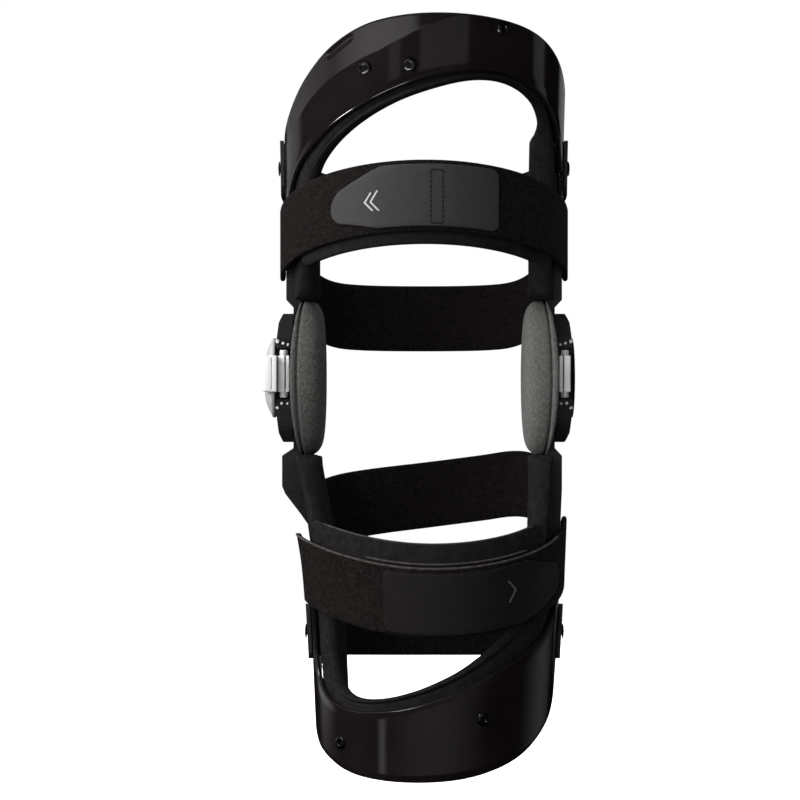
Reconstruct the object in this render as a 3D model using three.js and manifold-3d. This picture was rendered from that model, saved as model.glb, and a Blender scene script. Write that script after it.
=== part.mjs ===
// Hinged knee brace: a rigid thigh frame and a rigid calf frame, joined on each side by a two-pivot geared
// hinge with a soft knee pad, and held to the leg by two front straps and four rear straps.
// Millimetres. X to the wearer's left side as seen from the front (viewer's right), Y to the back, Z up.
// The origin is the middle of the knee, halfway between the two hinges.
import * as THREE from "three";
import { mergeVertices } from "three/addons/utils/BufferGeometryUtils.js";
import Module from "manifold-3d";

const wasm = await Module();
wasm.setup();

// Driving dimensions
const SEAT_GAP = 0.3;
const SHELL_WALL = 3;
const LINER_WALL = 5;
const STRAP_WALL = 2.4;
const STRAP_PAD_WALL = 2.7;
const TAB_WALL = 1.3;
const ARM_WALL = 4;
const ARM_HALF_WIDTH = 8.4;
const FRONT_STRAP_WIDTH = 35.5;
const KNEE_STRAP_WIDTH = 36;
const END_STRAP_WIDTH = 25;
const HINGE_HEIGHT = 68;
const CARRIER_HALF_DEPTH = 26.5;
const CARRIER_HALF_HEIGHT = 39.5;
const HINGE_HALF_WIDTH = 15;
const PIVOT_HEIGHT = 10;
const PIN_RADIUS = 3;
const CAP_RADIUS = 21;
const PAD_HALF_DEPTH = 28;
const PAD_HALF_HEIGHT = 41;
const SIDES = 12;

// The limb that the shells follow: the shells' outer skin at each height. front and back are depths from
// the plane of the hinges, and the calf sits a little to one side of the thigh.
const LIMB = [
  { z: -225, centre: 4, half_width: 59.5, front: 51, back: 47 },
  { z: -180, centre: 5, half_width: 62.5, front: 54, back: 52 },
  { z: -130, centre: 5.5, half_width: 65.3, front: 58, back: 58 },
  { z: -100, centre: 4.9, half_width: 67, front: 59.5, back: 56 },
  { z: -80, centre: 3.7, half_width: 69, front: 60.5, back: 53.5 },
  { z: -56, centre: 1.6, half_width: 71.8, front: 62.3, back: 51 },
  { z: -36, centre: 0, half_width: 73.4, front: 64, back: 50 },
  { z: 36, centre: 0, half_width: 73.4, front: 69, back: 51 },
  { z: 75, centre: 0, half_width: 73.4, front: 74, back: 57 },
  { z: 110, centre: 0, half_width: 73.6, front: 77, back: 64 },
  { z: 150, centre: 0, half_width: 74.6, front: 80, back: 68 },
  { z: 200, centre: 0, half_width: 76, front: 82, back: 70 },
];

// Layers across the wall, as distances out from the shells' outer skin.
const ARM_SEAT = -(SHELL_WALL + 1.6);
const KNEE_STRAP_SEAT = ARM_SEAT - ARM_WALL - SEAT_GAP - STRAP_WALL / 2;
const LINER_SEAT_FRONT = -(SHELL_WALL + SEAT_GAP);
const LINER_SEAT_SIDE = KNEE_STRAP_SEAT - STRAP_WALL / 2 - SEAT_GAP;
const LINER_STEP_DEG = { from: 75.5, to: 78.5 };
const LINER_SWELL_DEG = { from: 58, to: 74 };
const STRAP_PAD_SEAT = -0.2 - STRAP_PAD_WALL / 2;
const FRONT_STRAP_SEAT = SEAT_GAP + STRAP_WALL / 2;
const TAB_SEAT = FRONT_STRAP_SEAT + STRAP_WALL / 2 + SEAT_GAP + TAB_WALL / 2;
const BRACKET_WALL = 2;
const BRACKET_SEAT = SEAT_GAP + BRACKET_WALL / 2;

// Across the hinge, as distances out from the middle of the knee.
const ARM_OUTER = 68.8;
const ARM_INNER = ARM_OUTER - ARM_WALL;
const INNER_PLATE = { from: ARM_INNER - SEAT_GAP - 2.5, to: ARM_INNER - SEAT_GAP };
const OUTER_PLATE = { from: ARM_OUTER + SEAT_GAP, ends: 74.4, shoulder: 76.4, to: 78 };
const CAP_SEAT = OUTER_PLATE.to + SEAT_GAP;
const PAD = { from: 51.6, to: INNER_PLATE.from - SEAT_GAP };

// Edges of the two shells and their liners, as angles round the limb (0 in front, minus to the viewer's
// left) and heights. Each row crosses the band from its outer edge to the edge of its opening.
const THIGH_SHELL = [
  { outer_deg: -102, outer_z: 70, inner_deg: -82, inner_z: 70 },
  { outer_deg: -104, outer_z: 98, inner_deg: -80, inner_z: 88 },
  { outer_deg: -99, outer_z: 116, inner_deg: -73, inner_z: 99 },
  { outer_deg: -87, outer_z: 127, inner_deg: -63, inner_z: 109.5 },
  { outer_deg: -73, outer_z: 139.5, inner_deg: -51, inner_z: 118.6 },
  { outer_deg: -58, outer_z: 155, inner_deg: -38, inner_z: 128.5 },
  { outer_deg: -43, outer_z: 168, inner_deg: -24, inner_z: 136.8 },
  { outer_deg: -26, outer_z: 177, inner_deg: -10, inner_z: 144.2 },
  { outer_deg: -8, outer_z: 180.8, inner_deg: 4, inner_z: 149.8 },
  { outer_deg: 12, outer_z: 181.2, inner_deg: 18, inner_z: 152.7 },
  { outer_deg: 32, outer_z: 179.2, inner_deg: 32, inner_z: 152.4 },
  { outer_deg: 49, outer_z: 175, inner_deg: 45, inner_z: 148 },
  { outer_deg: 64, outer_z: 167.5, inner_deg: 57, inner_z: 140.9 },
  { outer_deg: 78, outer_z: 157, inner_deg: 67, inner_z: 131.5 },
  { outer_deg: 91, outer_z: 146, inner_deg: 75, inner_z: 119 },
  { outer_deg: 101, outer_z: 132, inner_deg: 80, inner_z: 104 },
  { outer_deg: 104, outer_z: 106, inner_deg: 82, inner_z: 88 },
  { outer_deg: 102, outer_z: 70, inner_deg: 82, inner_z: 70 },
];
const CALF_SHELL = [
  { outer_deg: -102, outer_z: -98, inner_deg: -82, inner_z: -98 },
  { outer_deg: -104, outer_z: -124, inner_deg: -83, inner_z: -120 },
  { outer_deg: -104, outer_z: -146, inner_deg: -82, inner_z: -138 },
  { outer_deg: -101, outer_z: -163, inner_deg: -77, inner_z: -151 },
  { outer_deg: -92, outer_z: -179, inner_deg: -68, inner_z: -161.7 },
  { outer_deg: -79, outer_z: -190.5, inner_deg: -56, inner_z: -168 },
  { outer_deg: -63, outer_z: -198.5, inner_deg: -42, inner_z: -170.9 },
  { outer_deg: -46, outer_z: -204, inner_deg: -28, inner_z: -170.6 },
  { outer_deg: -26, outer_z: -206.6, inner_deg: -14, inner_z: -168.6 },
  { outer_deg: -6, outer_z: -207, inner_deg: 0, inner_z: -164 },
  { outer_deg: 13, outer_z: -205.6, inner_deg: 14, inner_z: -158 },
  { outer_deg: 30, outer_z: -202, inner_deg: 29, inner_z: -150.5 },
  { outer_deg: 47, outer_z: -196, inner_deg: 44, inner_z: -143.3 },
  { outer_deg: 62, outer_z: -187.5, inner_deg: 58, inner_z: -135.2 },
  { outer_deg: 76, outer_z: -176.5, inner_deg: 69, inner_z: -127.5 },
  { outer_deg: 90, outer_z: -162, inner_deg: 77, inner_z: -119 },
  { outer_deg: 101, outer_z: -147, inner_deg: 81, inner_z: -110 },
  { outer_deg: 104, outer_z: -124, inner_deg: 82, inner_z: -103 },
  { outer_deg: 102, outer_z: -92, inner_deg: 82, inner_z: -92 },
];
const THIGH_LINER = [
  { outer_deg: -101, outer_z: 46, inner_deg: -66, inner_z: 46 },
  { outer_deg: -101, outer_z: 72, inner_deg: -62, inner_z: 72 },
  { outer_deg: -101, outer_z: 94, inner_deg: -58, inner_z: 95 },
  { outer_deg: -95, outer_z: 110, inner_deg: -52, inner_z: 107.5 },
  { outer_deg: -84, outer_z: 122, inner_deg: -44, inner_z: 116 },
  { outer_deg: -70, outer_z: 134.5, inner_deg: -34, inner_z: 124 },
  { outer_deg: -55, outer_z: 150, inner_deg: -22, inner_z: 132 },
  { outer_deg: -40, outer_z: 162.5, inner_deg: -9, inner_z: 139 },
  { outer_deg: -23, outer_z: 172, inner_deg: 5, inner_z: 144.5 },
  { outer_deg: -4, outer_z: 176.5, inner_deg: 17, inner_z: 148 },
  { outer_deg: 16, outer_z: 177.5, inner_deg: 28, inner_z: 149 },
  { outer_deg: 35, outer_z: 174.8, inner_deg: 38, inner_z: 147.5 },
  { outer_deg: 51, outer_z: 169.8, inner_deg: 48, inner_z: 143.6 },
  { outer_deg: 66, outer_z: 161.5, inner_deg: 57, inner_z: 137.5 },
  { outer_deg: 80, outer_z: 151, inner_deg: 63, inner_z: 128 },
  { outer_deg: 93, outer_z: 138, inner_deg: 67, inner_z: 113 },
  { outer_deg: 100, outer_z: 119, inner_deg: 68.5, inner_z: 97 },
  { outer_deg: 101, outer_z: 84, inner_deg: 68, inner_z: 76 },
  { outer_deg: 101, outer_z: 46, inner_deg: 67, inner_z: 46 },
];
const CALF_LINER = [
  { outer_deg: -101, outer_z: -46, inner_deg: -68, inner_z: -46 },
  { outer_deg: -101, outer_z: -76, inner_deg: -64, inner_z: -76 },
  { outer_deg: -101, outer_z: -104, inner_deg: -61, inner_z: -106 },
  { outer_deg: -101, outer_z: -126, inner_deg: -60, inner_z: -130 },
  { outer_deg: -101, outer_z: -146, inner_deg: -59, inner_z: -147 },
  { outer_deg: -97, outer_z: -161, inner_deg: -55, inner_z: -157.5 },
  { outer_deg: -88, outer_z: -174, inner_deg: -48, inner_z: -163.3 },
  { outer_deg: -75, outer_z: -185, inner_deg: -37, inner_z: -165.2 },
  { outer_deg: -59, outer_z: -193.5, inner_deg: -24, inner_z: -163.9 },
  { outer_deg: -42, outer_z: -199.3, inner_deg: -11, inner_z: -160.4 },
  { outer_deg: -22, outer_z: -202, inner_deg: 1, inner_z: -155.5 },
  { outer_deg: -3, outer_z: -202.5, inner_deg: 12, inner_z: -149.8 },
  { outer_deg: 16, outer_z: -200.5, inner_deg: 21, inner_z: -143.8 },
  { outer_deg: 33, outer_z: -196.3, inner_deg: 29, inner_z: -138 },
  { outer_deg: 50, outer_z: -189.5, inner_deg: 37, inner_z: -132 },
  { outer_deg: 65, outer_z: -180, inner_deg: 45, inner_z: -125 },
  { outer_deg: 79, outer_z: -168.5, inner_deg: 52, inner_z: -116 },
  { outer_deg: 93, outer_z: -153, inner_deg: 57, inner_z: -104 },
  { outer_deg: 100, outer_z: -132, inner_deg: 60, inner_z: -92 },
  { outer_deg: 101, outer_z: -90, inner_deg: 63, inner_z: -74 },
  { outer_deg: 101, outer_z: -46, inner_deg: 67, inner_z: -46 },
];

// Across a band from its opening (0) to its outer edge (1): how far the skin leans in at its outer rim. The
// lean dies away towards the side wings, which lie flat on the arms, and on the thigh at its right front.
const SHELL_RIM = [
  { across: 0, lean: 0 },
  { across: 0.4, lean: 0 },
  { across: 0.76, lean: 0 },
  { across: 1, lean: -3.6 },
];
const LINER_RIM = [
  { across: 0, lean: 0 },
  { across: 0.34, lean: 0 },
  { across: 0.5, lean: 0 },
  { across: 0.75, lean: -0.6 },
  { across: 1, lean: -3.4 },
];
const THIGH_LEAN = { left_full: -58, left_none: -78, right_full: 0, right_none: 24, amount: 1 };
const CALF_LEAN = { left_full: -58, left_none: -78, right_full: 58, right_none: 78, amount: 0.6 };

// Front straps: centre height in the middle and at each side, how sharply it bows, and the pad that shows
// past one edge. A tab is square at one end and pointed at the other.
const THIGH_STRAP = { mid_z: 90.3, left_z: 69, right_z: 69, left_bow: 1, right_bow: 1, reach_deg: 97 };
const CALF_STRAP = { mid_z: -114.5, left_z: -100, right_z: -91, left_bow: 1.9, right_bow: 1, reach_deg: 97 };
const THIGH_STRAP_PAD = { from_deg: -61, to_deg: 55, above: -4, below: 6.2 };
const CALF_STRAP_PAD = { from_deg: -58, to_deg: 54, above: 12.4, below: -4 };
const THIGH_TAB = { tip_deg: -38.5, end_deg: 28.5, above: 17, below: 14.3, slope_above: 31, slope_below: 17 };
const CALF_TAB = { tip_deg: 66, end_deg: -22, above: 15, below: 16.4, slope_above: -24, slope_below: -24 };
const TAB_TIP_DROP = 3.5;

// Rear straps: the two nearest the knee are fixed inside the arms, and the two at the ends of the brace run
// through slotted brackets and fold back on themselves.
const THIGH_KNEE_STRAP = [
  { deg: 86, seat: KNEE_STRAP_SEAT, z: 62 },
  { deg: 97, seat: KNEE_STRAP_SEAT, z: 60.5 },
  { deg: 107, seat: -7.5, z: 54.5 },
  { deg: 117, seat: -3, z: 47 },
  { deg: 127, seat: 0, z: 40 },
  { deg: 138, seat: 0.5, z: 35.2 },
  { deg: 152, seat: -0.5, z: 33.4 },
  { deg: 180, seat: -1.2, z: 33 },
  { deg: 208, seat: -0.5, z: 33.4 },
  { deg: 222, seat: 0.5, z: 35.2 },
  { deg: 233, seat: 0, z: 40 },
  { deg: 243, seat: -3, z: 47 },
  { deg: 253, seat: -7.5, z: 54.5 },
  { deg: 263, seat: KNEE_STRAP_SEAT, z: 60.5 },
  { deg: 274, seat: KNEE_STRAP_SEAT, z: 62 },
];
const CALF_KNEE_STRAP = [
  { deg: 86, seat: KNEE_STRAP_SEAT, z: -77 },
  { deg: 97, seat: KNEE_STRAP_SEAT, z: -74 },
  { deg: 107, seat: -7.5, z: -67 },
  { deg: 117, seat: -4, z: -61.5 },
  { deg: 127, seat: -1.5, z: -58 },
  { deg: 140, seat: 0, z: -57.5 },
  { deg: 155, seat: -0.5, z: -60 },
  { deg: 180, seat: -1, z: -64 },
  { deg: 205, seat: -0.5, z: -67.5 },
  { deg: 220, seat: 0, z: -70 },
  { deg: 233, seat: -1.5, z: -73 },
  { deg: 243, seat: -4, z: -76.5 },
  { deg: 253, seat: -7.5, z: -80.5 },
  { deg: 263, seat: KNEE_STRAP_SEAT, z: -84 },
  { deg: 274, seat: KNEE_STRAP_SEAT, z: -86 },
];
const THIGH_END_STRAP = { side_z: 112.5, back_z: 94 };
const CALF_END_STRAP = { side_z: -133.5, back_z: -140 };
const BRACKET = { from_deg: 84, slot_from_deg: 108.4, slot_to_deg: 113, to_deg: 117.5, half_height: 14.5 };
const FOLD = { turn_deg: 110.2, tail_deg: 138, inner_seat: -1.6, outer_seat: 4.5 };

// Screws in the shells, at an angle and a height.
const THIGH_SCREWS = [
  { deg: -24, z: 154.5 },
  { deg: -6, z: 155.2 },
  { deg: 31, z: 174.8 },
];
const CALF_SCREWS = [
  { deg: -51, z: -188.5 },
  { deg: 23, z: -174.3 },
];
const SCREW = { head_radius: 3.4, head_height: 1.5, shank_radius: 1.6, shank_length: 2.9 };
const RIVET = { head_radius: 4, head_height: 0.9, shank_radius: 2.2 };
const HOLE_PLAY = 0.4;

const frameBlack = new THREE.MeshStandardMaterial({ color: 0x0c0c0e, roughness: 0.18, metalness: 0.1 });
const linerBlack = new THREE.MeshStandardMaterial({ color: 0x17181a, roughness: 0.85, metalness: 0 });
const webbing = new THREE.MeshStandardMaterial({ color: 0x141212, roughness: 0.95, metalness: 0 });
const tabGrey = new THREE.MeshStandardMaterial({ color: 0x2b2b2c, roughness: 0.6, metalness: 0 });
const hingeBlack = new THREE.MeshStandardMaterial({ color: 0x0b0a0b, roughness: 0.25, metalness: 0.2 });
const steel = new THREE.MeshStandardMaterial({ color: 0x4a4b4d, roughness: 0.3, metalness: 0.9 });
const silver = new THREE.MeshStandardMaterial({ color: 0xdcdcdc, roughness: 0.3, metalness: 0.4 });
const padGrey = new THREE.MeshStandardMaterial({ color: 0x4a4b4a, roughness: 0.95, metalness: 0 });

// A closed mesh as a manifold-3d solid, and back.
function solidOf(geometry) {
  const bare = geometry.clone();
  bare.deleteAttribute("normal");
  bare.deleteAttribute("uv");
  const merged = mergeVertices(bare, 1e-4);
  const vertProperties = merged.getAttribute("position").array;
  const triVerts = new Uint32Array(merged.index.array);
  return new wasm.Manifold(new wasm.Mesh({ numProp: 3, vertProperties, triVerts }));
}

function geometryOf(solid) {
  const { vertProperties, triVerts } = solid.getMesh();
  const geometry = new THREE.BufferGeometry();
  geometry.setAttribute("position", new THREE.BufferAttribute(vertProperties, 3));
  geometry.setIndex(new THREE.BufferAttribute(triVerts, 1));
  return geometry;
}

function cut(geometry, cutters) {
  let solid = solidOf(geometry);
  for (const cutter of cutters) {
    solid = solid.subtract(solidOf(cutter));
  }
  return geometryOf(solid);
}

function join(geometries) {
  let solid = solidOf(geometries[0]);
  for (const geometry of geometries.slice(1)) {
    solid = solid.add(solidOf(geometry));
  }
  return geometryOf(solid);
}

// The value of one column of a table at height z, smoothly between its rows.
function columnAt(rows, column, z) {
  const last = rows.length - 2;
  let i = rows.findIndex((row) => row.z > z) - 1;
  i = i < -1 ? last : THREE.MathUtils.clamp(i, 0, last);
  const slope = (k) => {
    const a = rows[Math.max(k - 1, 0)];
    const b = rows[Math.min(k + 1, rows.length - 1)];
    return (b[column] - a[column]) / (b.z - a.z);
  };
  const [low, high] = [rows[i], rows[i + 1]];
  const span = high.z - low.z;
  const t = THREE.MathUtils.clamp((z - low.z) / span, 0, 1);
  const rise = high[column] - low[column];
  const flat = Math.abs(rise) < 1e-9 ? 0 : 1;
  const bend = t * (1 - t) * ((1 - t) * (slope(i) * span - rise) - t * (slope(i + 1) * span - rise));
  return low[column] + rise * t + flat * bend;
}

// A point on the limb, at an angle from the front and a height, so far out from the shells' skin.
function limbPoint(deg, z, out = 0) {
  const angle = THREE.MathUtils.degToRad(deg);
  const depth = columnAt(LIMB, Math.cos(angle) > 0 ? "front" : "back", z);
  const x = columnAt(LIMB, "centre", z) + (columnAt(LIMB, "half_width", z) + out) * Math.sin(angle);
  return new THREE.Vector3(x, -(depth + out) * Math.cos(angle), z);
}

// A closed slab between two grids of points, the first on its outer side. Rows run along the piece.
function slab(outer, inner) {
  const [rows, columns] = [outer.length, outer[0].length];
  const position = [...outer.flat(), ...inner.flat()].flatMap((p) => [p.x, p.y, p.z]);
  const at = (side, r, c) => side * rows * columns + r * columns + c;
  const index = [];
  const quad = (a, b, c, d) => index.push(a, b, c, a, c, d);
  for (let r = 0; r < rows - 1; r += 1) {
    for (let c = 0; c < columns - 1; c += 1) {
      quad(at(0, r, c), at(0, r + 1, c), at(0, r + 1, c + 1), at(0, r, c + 1));
      quad(at(1, r, c), at(1, r, c + 1), at(1, r + 1, c + 1), at(1, r + 1, c));
    }
    quad(at(0, r, 0), at(1, r, 0), at(1, r + 1, 0), at(0, r + 1, 0));
    const end = columns - 1;
    quad(at(0, r, end), at(0, r + 1, end), at(1, r + 1, end), at(1, r, end));
  }
  for (let c = 0; c < columns - 1; c += 1) {
    const end = rows - 1;
    quad(at(0, 0, c), at(0, 0, c + 1), at(1, 0, c + 1), at(1, 0, c));
    quad(at(0, end, c), at(1, end, c), at(1, end, c + 1), at(0, end, c + 1));
  }
  const geometry = new THREE.BufferGeometry();
  geometry.setAttribute("position", new THREE.Float32BufferAttribute(position, 3));
  geometry.setIndex(index);
  return geometry;
}

function leanShare(lean, deg) {
  const left = THREE.MathUtils.smoothstep(deg, lean.left_none, lean.left_full);
  const right = 1 - THREE.MathUtils.smoothstep(deg, lean.right_full, lean.right_none);
  return lean.amount * left * right;
}

// A band that arches over the limb between its two edges, with its skin and its back at the seats given for an angle.
function archedBand(rows, rim, lean, skinSeat, backSeat, steps) {
  const edge = (side) =>
    new THREE.SplineCurve(rows.map((row) => new THREE.Vector2(row[`${side}_deg`], row[`${side}_z`])));
  const [outerEdge, innerEdge] = [edge("outer"), edge("inner")];
  const layer = (seat) =>
    Array.from({ length: steps + 1 }, (_, i) => {
      const outer = outerEdge.getPoint(i / steps);
      const inner = innerEdge.getPoint(i / steps);
      return rim.map((row) => {
        const spot = inner.clone().lerp(outer, row.across);
        const out = seat(spot.x) + row.lean * leanShare(lean, spot.x);
        return limbPoint(spot.x, spot.y, out);
      });
    });
  const upward = rows[0].outer_z > 0 ? 1 : -1;
  const [skin, back] = [layer(skinSeat), layer(backSeat)];
  return upward > 0 ? slab(skin, back) : slab(back, skin);
}

// A strap along a route of angles and seats on the limb. centre gives its height at an angle, and above and
// below its half widths there. The wall is set square to the route in plan.
function strap(route, centre, above, below, wall, heights = [-1, 0, 1]) {
  const skins = [[], []];
  route.forEach((stop, i) => {
    const before = route[Math.max(i - 1, 0)];
    const after = route[Math.min(i + 1, route.length - 1)];
    const z = centre(stop.deg);
    const along = limbPoint(after.deg, z, after.seat).sub(limbPoint(before.deg, z, before.seat));
    const square = new THREE.Vector3(-along.y, along.x, 0).normalize().multiplyScalar(-wall / 2);
    const row = heights.map((h) => {
      const reach = h > 0 ? above(stop.deg) : below(stop.deg);
      return limbPoint(stop.deg, z + h * reach, stop.seat);
    });
    skins[0].push(row.map((p) => p.clone().add(square)));
    skins[1].push(row.map((p) => p.clone().sub(square)));
  });
  return slab(skins[0], skins[1]);
}

function evenRoute(fromDeg, toDeg, seat, steps) {
  return Array.from({ length: steps + 1 }, (_, i) => ({
    deg: fromDeg + ((toDeg - fromDeg) * i) / steps,
    seat,
  }));
}

const always = (value) => () => value;
const bowed = (shape) => (deg) => {
  const [side, bow] = deg < 0 ? [shape.left_z, shape.left_bow] : [shape.right_z, shape.right_bow];
  const front = Math.max(0, Math.cos(THREE.MathUtils.degToRad(deg)));
  return side + (shape.mid_z - side) * front ** bow;
};
const hung = ({ side_z, back_z }) => (deg) => {
  const round = 180 - Math.abs(180 - Math.abs(deg));
  const share = Math.sin(((Math.PI / 2) * (round - BRACKET.from_deg)) / (180 - BRACKET.from_deg));
  return THREE.MathUtils.lerp(side_z, back_z, share);
};

function frontStrap(shape) {
  const half = always(FRONT_STRAP_WIDTH / 2);
  const route = evenRoute(-shape.reach_deg, shape.reach_deg, FRONT_STRAP_SEAT, 28);
  return strap(route, bowed(shape), half, half, STRAP_WALL);
}

function frontStrapPad(shape, pad) {
  const half = FRONT_STRAP_WIDTH / 2;
  const route = evenRoute(pad.from_deg, pad.to_deg, STRAP_PAD_SEAT, 20);
  return strap(route, bowed(shape), always(half + pad.above), always(half + pad.below), STRAP_PAD_WALL);
}

// The smooth closing tab of a front strap: square at one end, drawn to a low rounded point at the other.
function closingTab(shape, tab) {
  const reach = (full, slope, least) => (deg) => {
    const t = THREE.MathUtils.clamp((deg - tab.tip_deg) / slope, 0, 1);
    return THREE.MathUtils.lerp(least, full, Math.sin((Math.PI / 2) * t) ** 0.85);
  };
  const [low, high] = [Math.min(tab.tip_deg, tab.end_deg), Math.max(tab.tip_deg, tab.end_deg)];
  const above = reach(tab.above, tab.slope_above, 0.6 - TAB_TIP_DROP);
  const below = reach(tab.below, tab.slope_below, 0.6 + TAB_TIP_DROP);
  return strap(evenRoute(low, high, TAB_SEAT, 26), bowed(shape), above, below, TAB_WALL, [-1, 1]);
}

// A rear strap nearest the knee, through a table of angles, seats and heights. Its ends lie inside the arms.
function kneeStrap(rows) {
  const half = always(KNEE_STRAP_WIDTH / 2);
  const seats = new THREE.SplineCurve(rows.map(({ deg, seat }) => new THREE.Vector2(deg, seat)));
  const heights = new THREE.SplineCurve(rows.map(({ deg, z }) => new THREE.Vector2(deg, z)));
  const steps = 30;
  const route = seats.getPoints(steps).map((spot) => ({ deg: spot.x, seat: spot.y }));
  const levels = heights.getPoints(steps);
  const centre = (deg) => levels[route.findIndex((stop) => stop.deg === deg)].y;
  return strap(route, centre, half, half, STRAP_WALL);
}

// A rear strap at an end of the brace: through both bracket slots, each tail folded back outside.
function endStrap(shape) {
  const { turn_deg, tail_deg, inner_seat, outer_seat } = FOLD;
  const middle = (inner_seat + outer_seat) / 2;
  const fold = [
    { deg: tail_deg, seat: outer_seat },
    { deg: 128, seat: outer_seat },
    { deg: 118.5, seat: outer_seat },
    { deg: 114, seat: outer_seat - 0.1 },
    { deg: turn_deg + 1.5, seat: outer_seat - 1 },
    { deg: turn_deg, seat: middle },
    { deg: turn_deg + 1.5, seat: inner_seat + 1 },
    { deg: 114, seat: inner_seat + 0.1 },
    { deg: 118.5, seat: inner_seat },
  ];
  const mirrored = fold.map(({ deg, seat }) => ({ deg: 360 - deg, seat })).reverse();
  const route = [...fold, ...evenRoute(125, 235, inner_seat, 16), ...mirrored];
  const half = always(END_STRAP_WIDTH / 2);
  return strap(route, hung(shape), half, half, STRAP_WALL);
}

// A plate drawn in the hinge's own plane (back, up), cut from one distance out to another.
const HINGE_PLANE = new THREE.Matrix4().makeBasis(
  new THREE.Vector3(0, 1, 0),
  new THREE.Vector3(0, 0, 1),
  new THREE.Vector3(1, 0, 0),
);

function hingePlate(shape, from, to) {
  const geometry = new THREE.ExtrudeGeometry(shape, { depth: to - from, bevelEnabled: false, curveSegments: 8 });
  geometry.applyMatrix4(HINGE_PLANE);
  return geometry.translate(from, 0, 0);
}

function roundBar(radius, from, to, z, sides = SIDES) {
  const geometry = new THREE.CylinderGeometry(radius, radius, to - from, sides);
  geometry.rotateZ(Math.PI / 2);
  return geometry.translate((from + to) / 2, 0, z);
}

// The toothed end of an arm, drawn round its own pivot with the teeth facing down.
const TEETH = { count: 20, root: 8.9, tip: 10.75, root_share: 0.27, tip_share: 0.12, spread_deg: 80 };

function toothedEnd(halfStep) {
  const shape = new THREE.Shape();
  const step = 360 / TEETH.count;
  const spot = (deg, radius) => {
    const angle = THREE.MathUtils.degToRad(deg - 90);
    return [radius * Math.cos(angle), radius * Math.sin(angle)];
  };
  shape.moveTo(...spot(-150, TEETH.root));
  shape.lineTo(...spot(-115, TEETH.root));
  for (let deg = -TEETH.spread_deg; deg <= TEETH.spread_deg; deg += step) {
    const middle = Math.round(deg / step) * step + halfStep * step;
    shape.lineTo(...spot(middle - TEETH.root_share * step, TEETH.root));
    shape.lineTo(...spot(middle - TEETH.tip_share * step, TEETH.tip));
    shape.lineTo(...spot(middle + TEETH.tip_share * step, TEETH.tip));
    shape.lineTo(...spot(middle + TEETH.root_share * step, TEETH.root));
  }
  shape.lineTo(...spot(115, TEETH.root));
  shape.lineTo(...spot(150, TEETH.root));
  shape.lineTo(...spot(180, TEETH.root));
  return shape;
}

// A flat bar from a hinge to a shell, through rows of a height, a half width, how far its outside swells
// and how far the bar has left the hinge's plane (0) for the side of the limb (1).
function sideBar(rows, side) {
  const layer = (out, swells) =>
    rows.map(({ z, half, swell, leave }) => {
      const limb = limbPoint(90 * side, z, ARM_SEAT - out).x;
      const plane = side * (ARM_OUTER - out);
      const x = THREE.MathUtils.lerp(plane, limb, leave) + side * swells * swell;
      return [-half, half].map((y) => new THREE.Vector3(x, y, z));
    });
  const [outside, inside] = [layer(0, 1), layer(ARM_WALL, 0)];
  const rising = rows[1].z > rows[0].z;
  return rising === side > 0 ? slab(inside, outside) : slab(outside, inside);
}

const THIGH_ARM = [
  { z: 9, half: 8.4, swell: 0, leave: 0 },
  { z: 37, half: ARM_HALF_WIDTH, swell: 0, leave: 0 },
  { z: 41, half: ARM_HALF_WIDTH, swell: 3.8, leave: 0 },
  { z: 65, half: ARM_HALF_WIDTH, swell: 3.8, leave: 0 },
  { z: 69, half: ARM_HALF_WIDTH, swell: 0, leave: 0 },
  { z: 92, half: ARM_HALF_WIDTH, swell: 0, leave: 1 },
  { z: 112, half: ARM_HALF_WIDTH, swell: 0, leave: 1 },
  { z: 119, half: 7.5, swell: 0, leave: 1 },
  { z: 122, half: 5, swell: 0, leave: 1 },
];
const CALF_ARM_LEFT = [
  { z: -9, half: 8.4, swell: 0, leave: 0 },
  { z: -37, half: ARM_HALF_WIDTH, swell: 0, leave: 0 },
  { z: -41, half: ARM_HALF_WIDTH, swell: 6, leave: 0 },
  { z: -57, half: ARM_HALF_WIDTH, swell: 6, leave: 0 },
  { z: -61, half: ARM_HALF_WIDTH, swell: 5, leave: 0.15 },
  { z: -72, half: ARM_HALF_WIDTH, swell: 1.5, leave: 0.85 },
  { z: -77, half: ARM_HALF_WIDTH, swell: 0, leave: 1 },
  { z: -115, half: ARM_HALF_WIDTH, swell: 0, leave: 1 },
  { z: -140, half: ARM_HALF_WIDTH, swell: 0, leave: 1 },
  { z: -148, half: 7, swell: 0, leave: 1 },
  { z: -151, half: 4.5, swell: 0, leave: 1 },
];
const CALF_ARM_RIGHT = [
  { z: -9, half: 8.4, swell: 0, leave: 0 },
  { z: -37, half: ARM_HALF_WIDTH, swell: 0, leave: 0 },
  { z: -41, half: ARM_HALF_WIDTH, swell: 3.8, leave: 0 },
  { z: -58, half: ARM_HALF_WIDTH, swell: 3.8, leave: 0 },
  { z: -76, half: ARM_HALF_WIDTH, swell: 3.6, leave: 1 },
  { z: -86, half: ARM_HALF_WIDTH, swell: 3.6, leave: 1 },
  { z: -90, half: ARM_HALF_WIDTH, swell: 0, leave: 1 },
  { z: -115, half: ARM_HALF_WIDTH, swell: 0, leave: 1 },
  { z: -140, half: ARM_HALF_WIDTH, swell: 0, leave: 1 },
  { z: -148, half: 7, swell: 0, leave: 1 },
  { z: -151, half: 4.5, swell: 0, leave: 1 },
];

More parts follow.
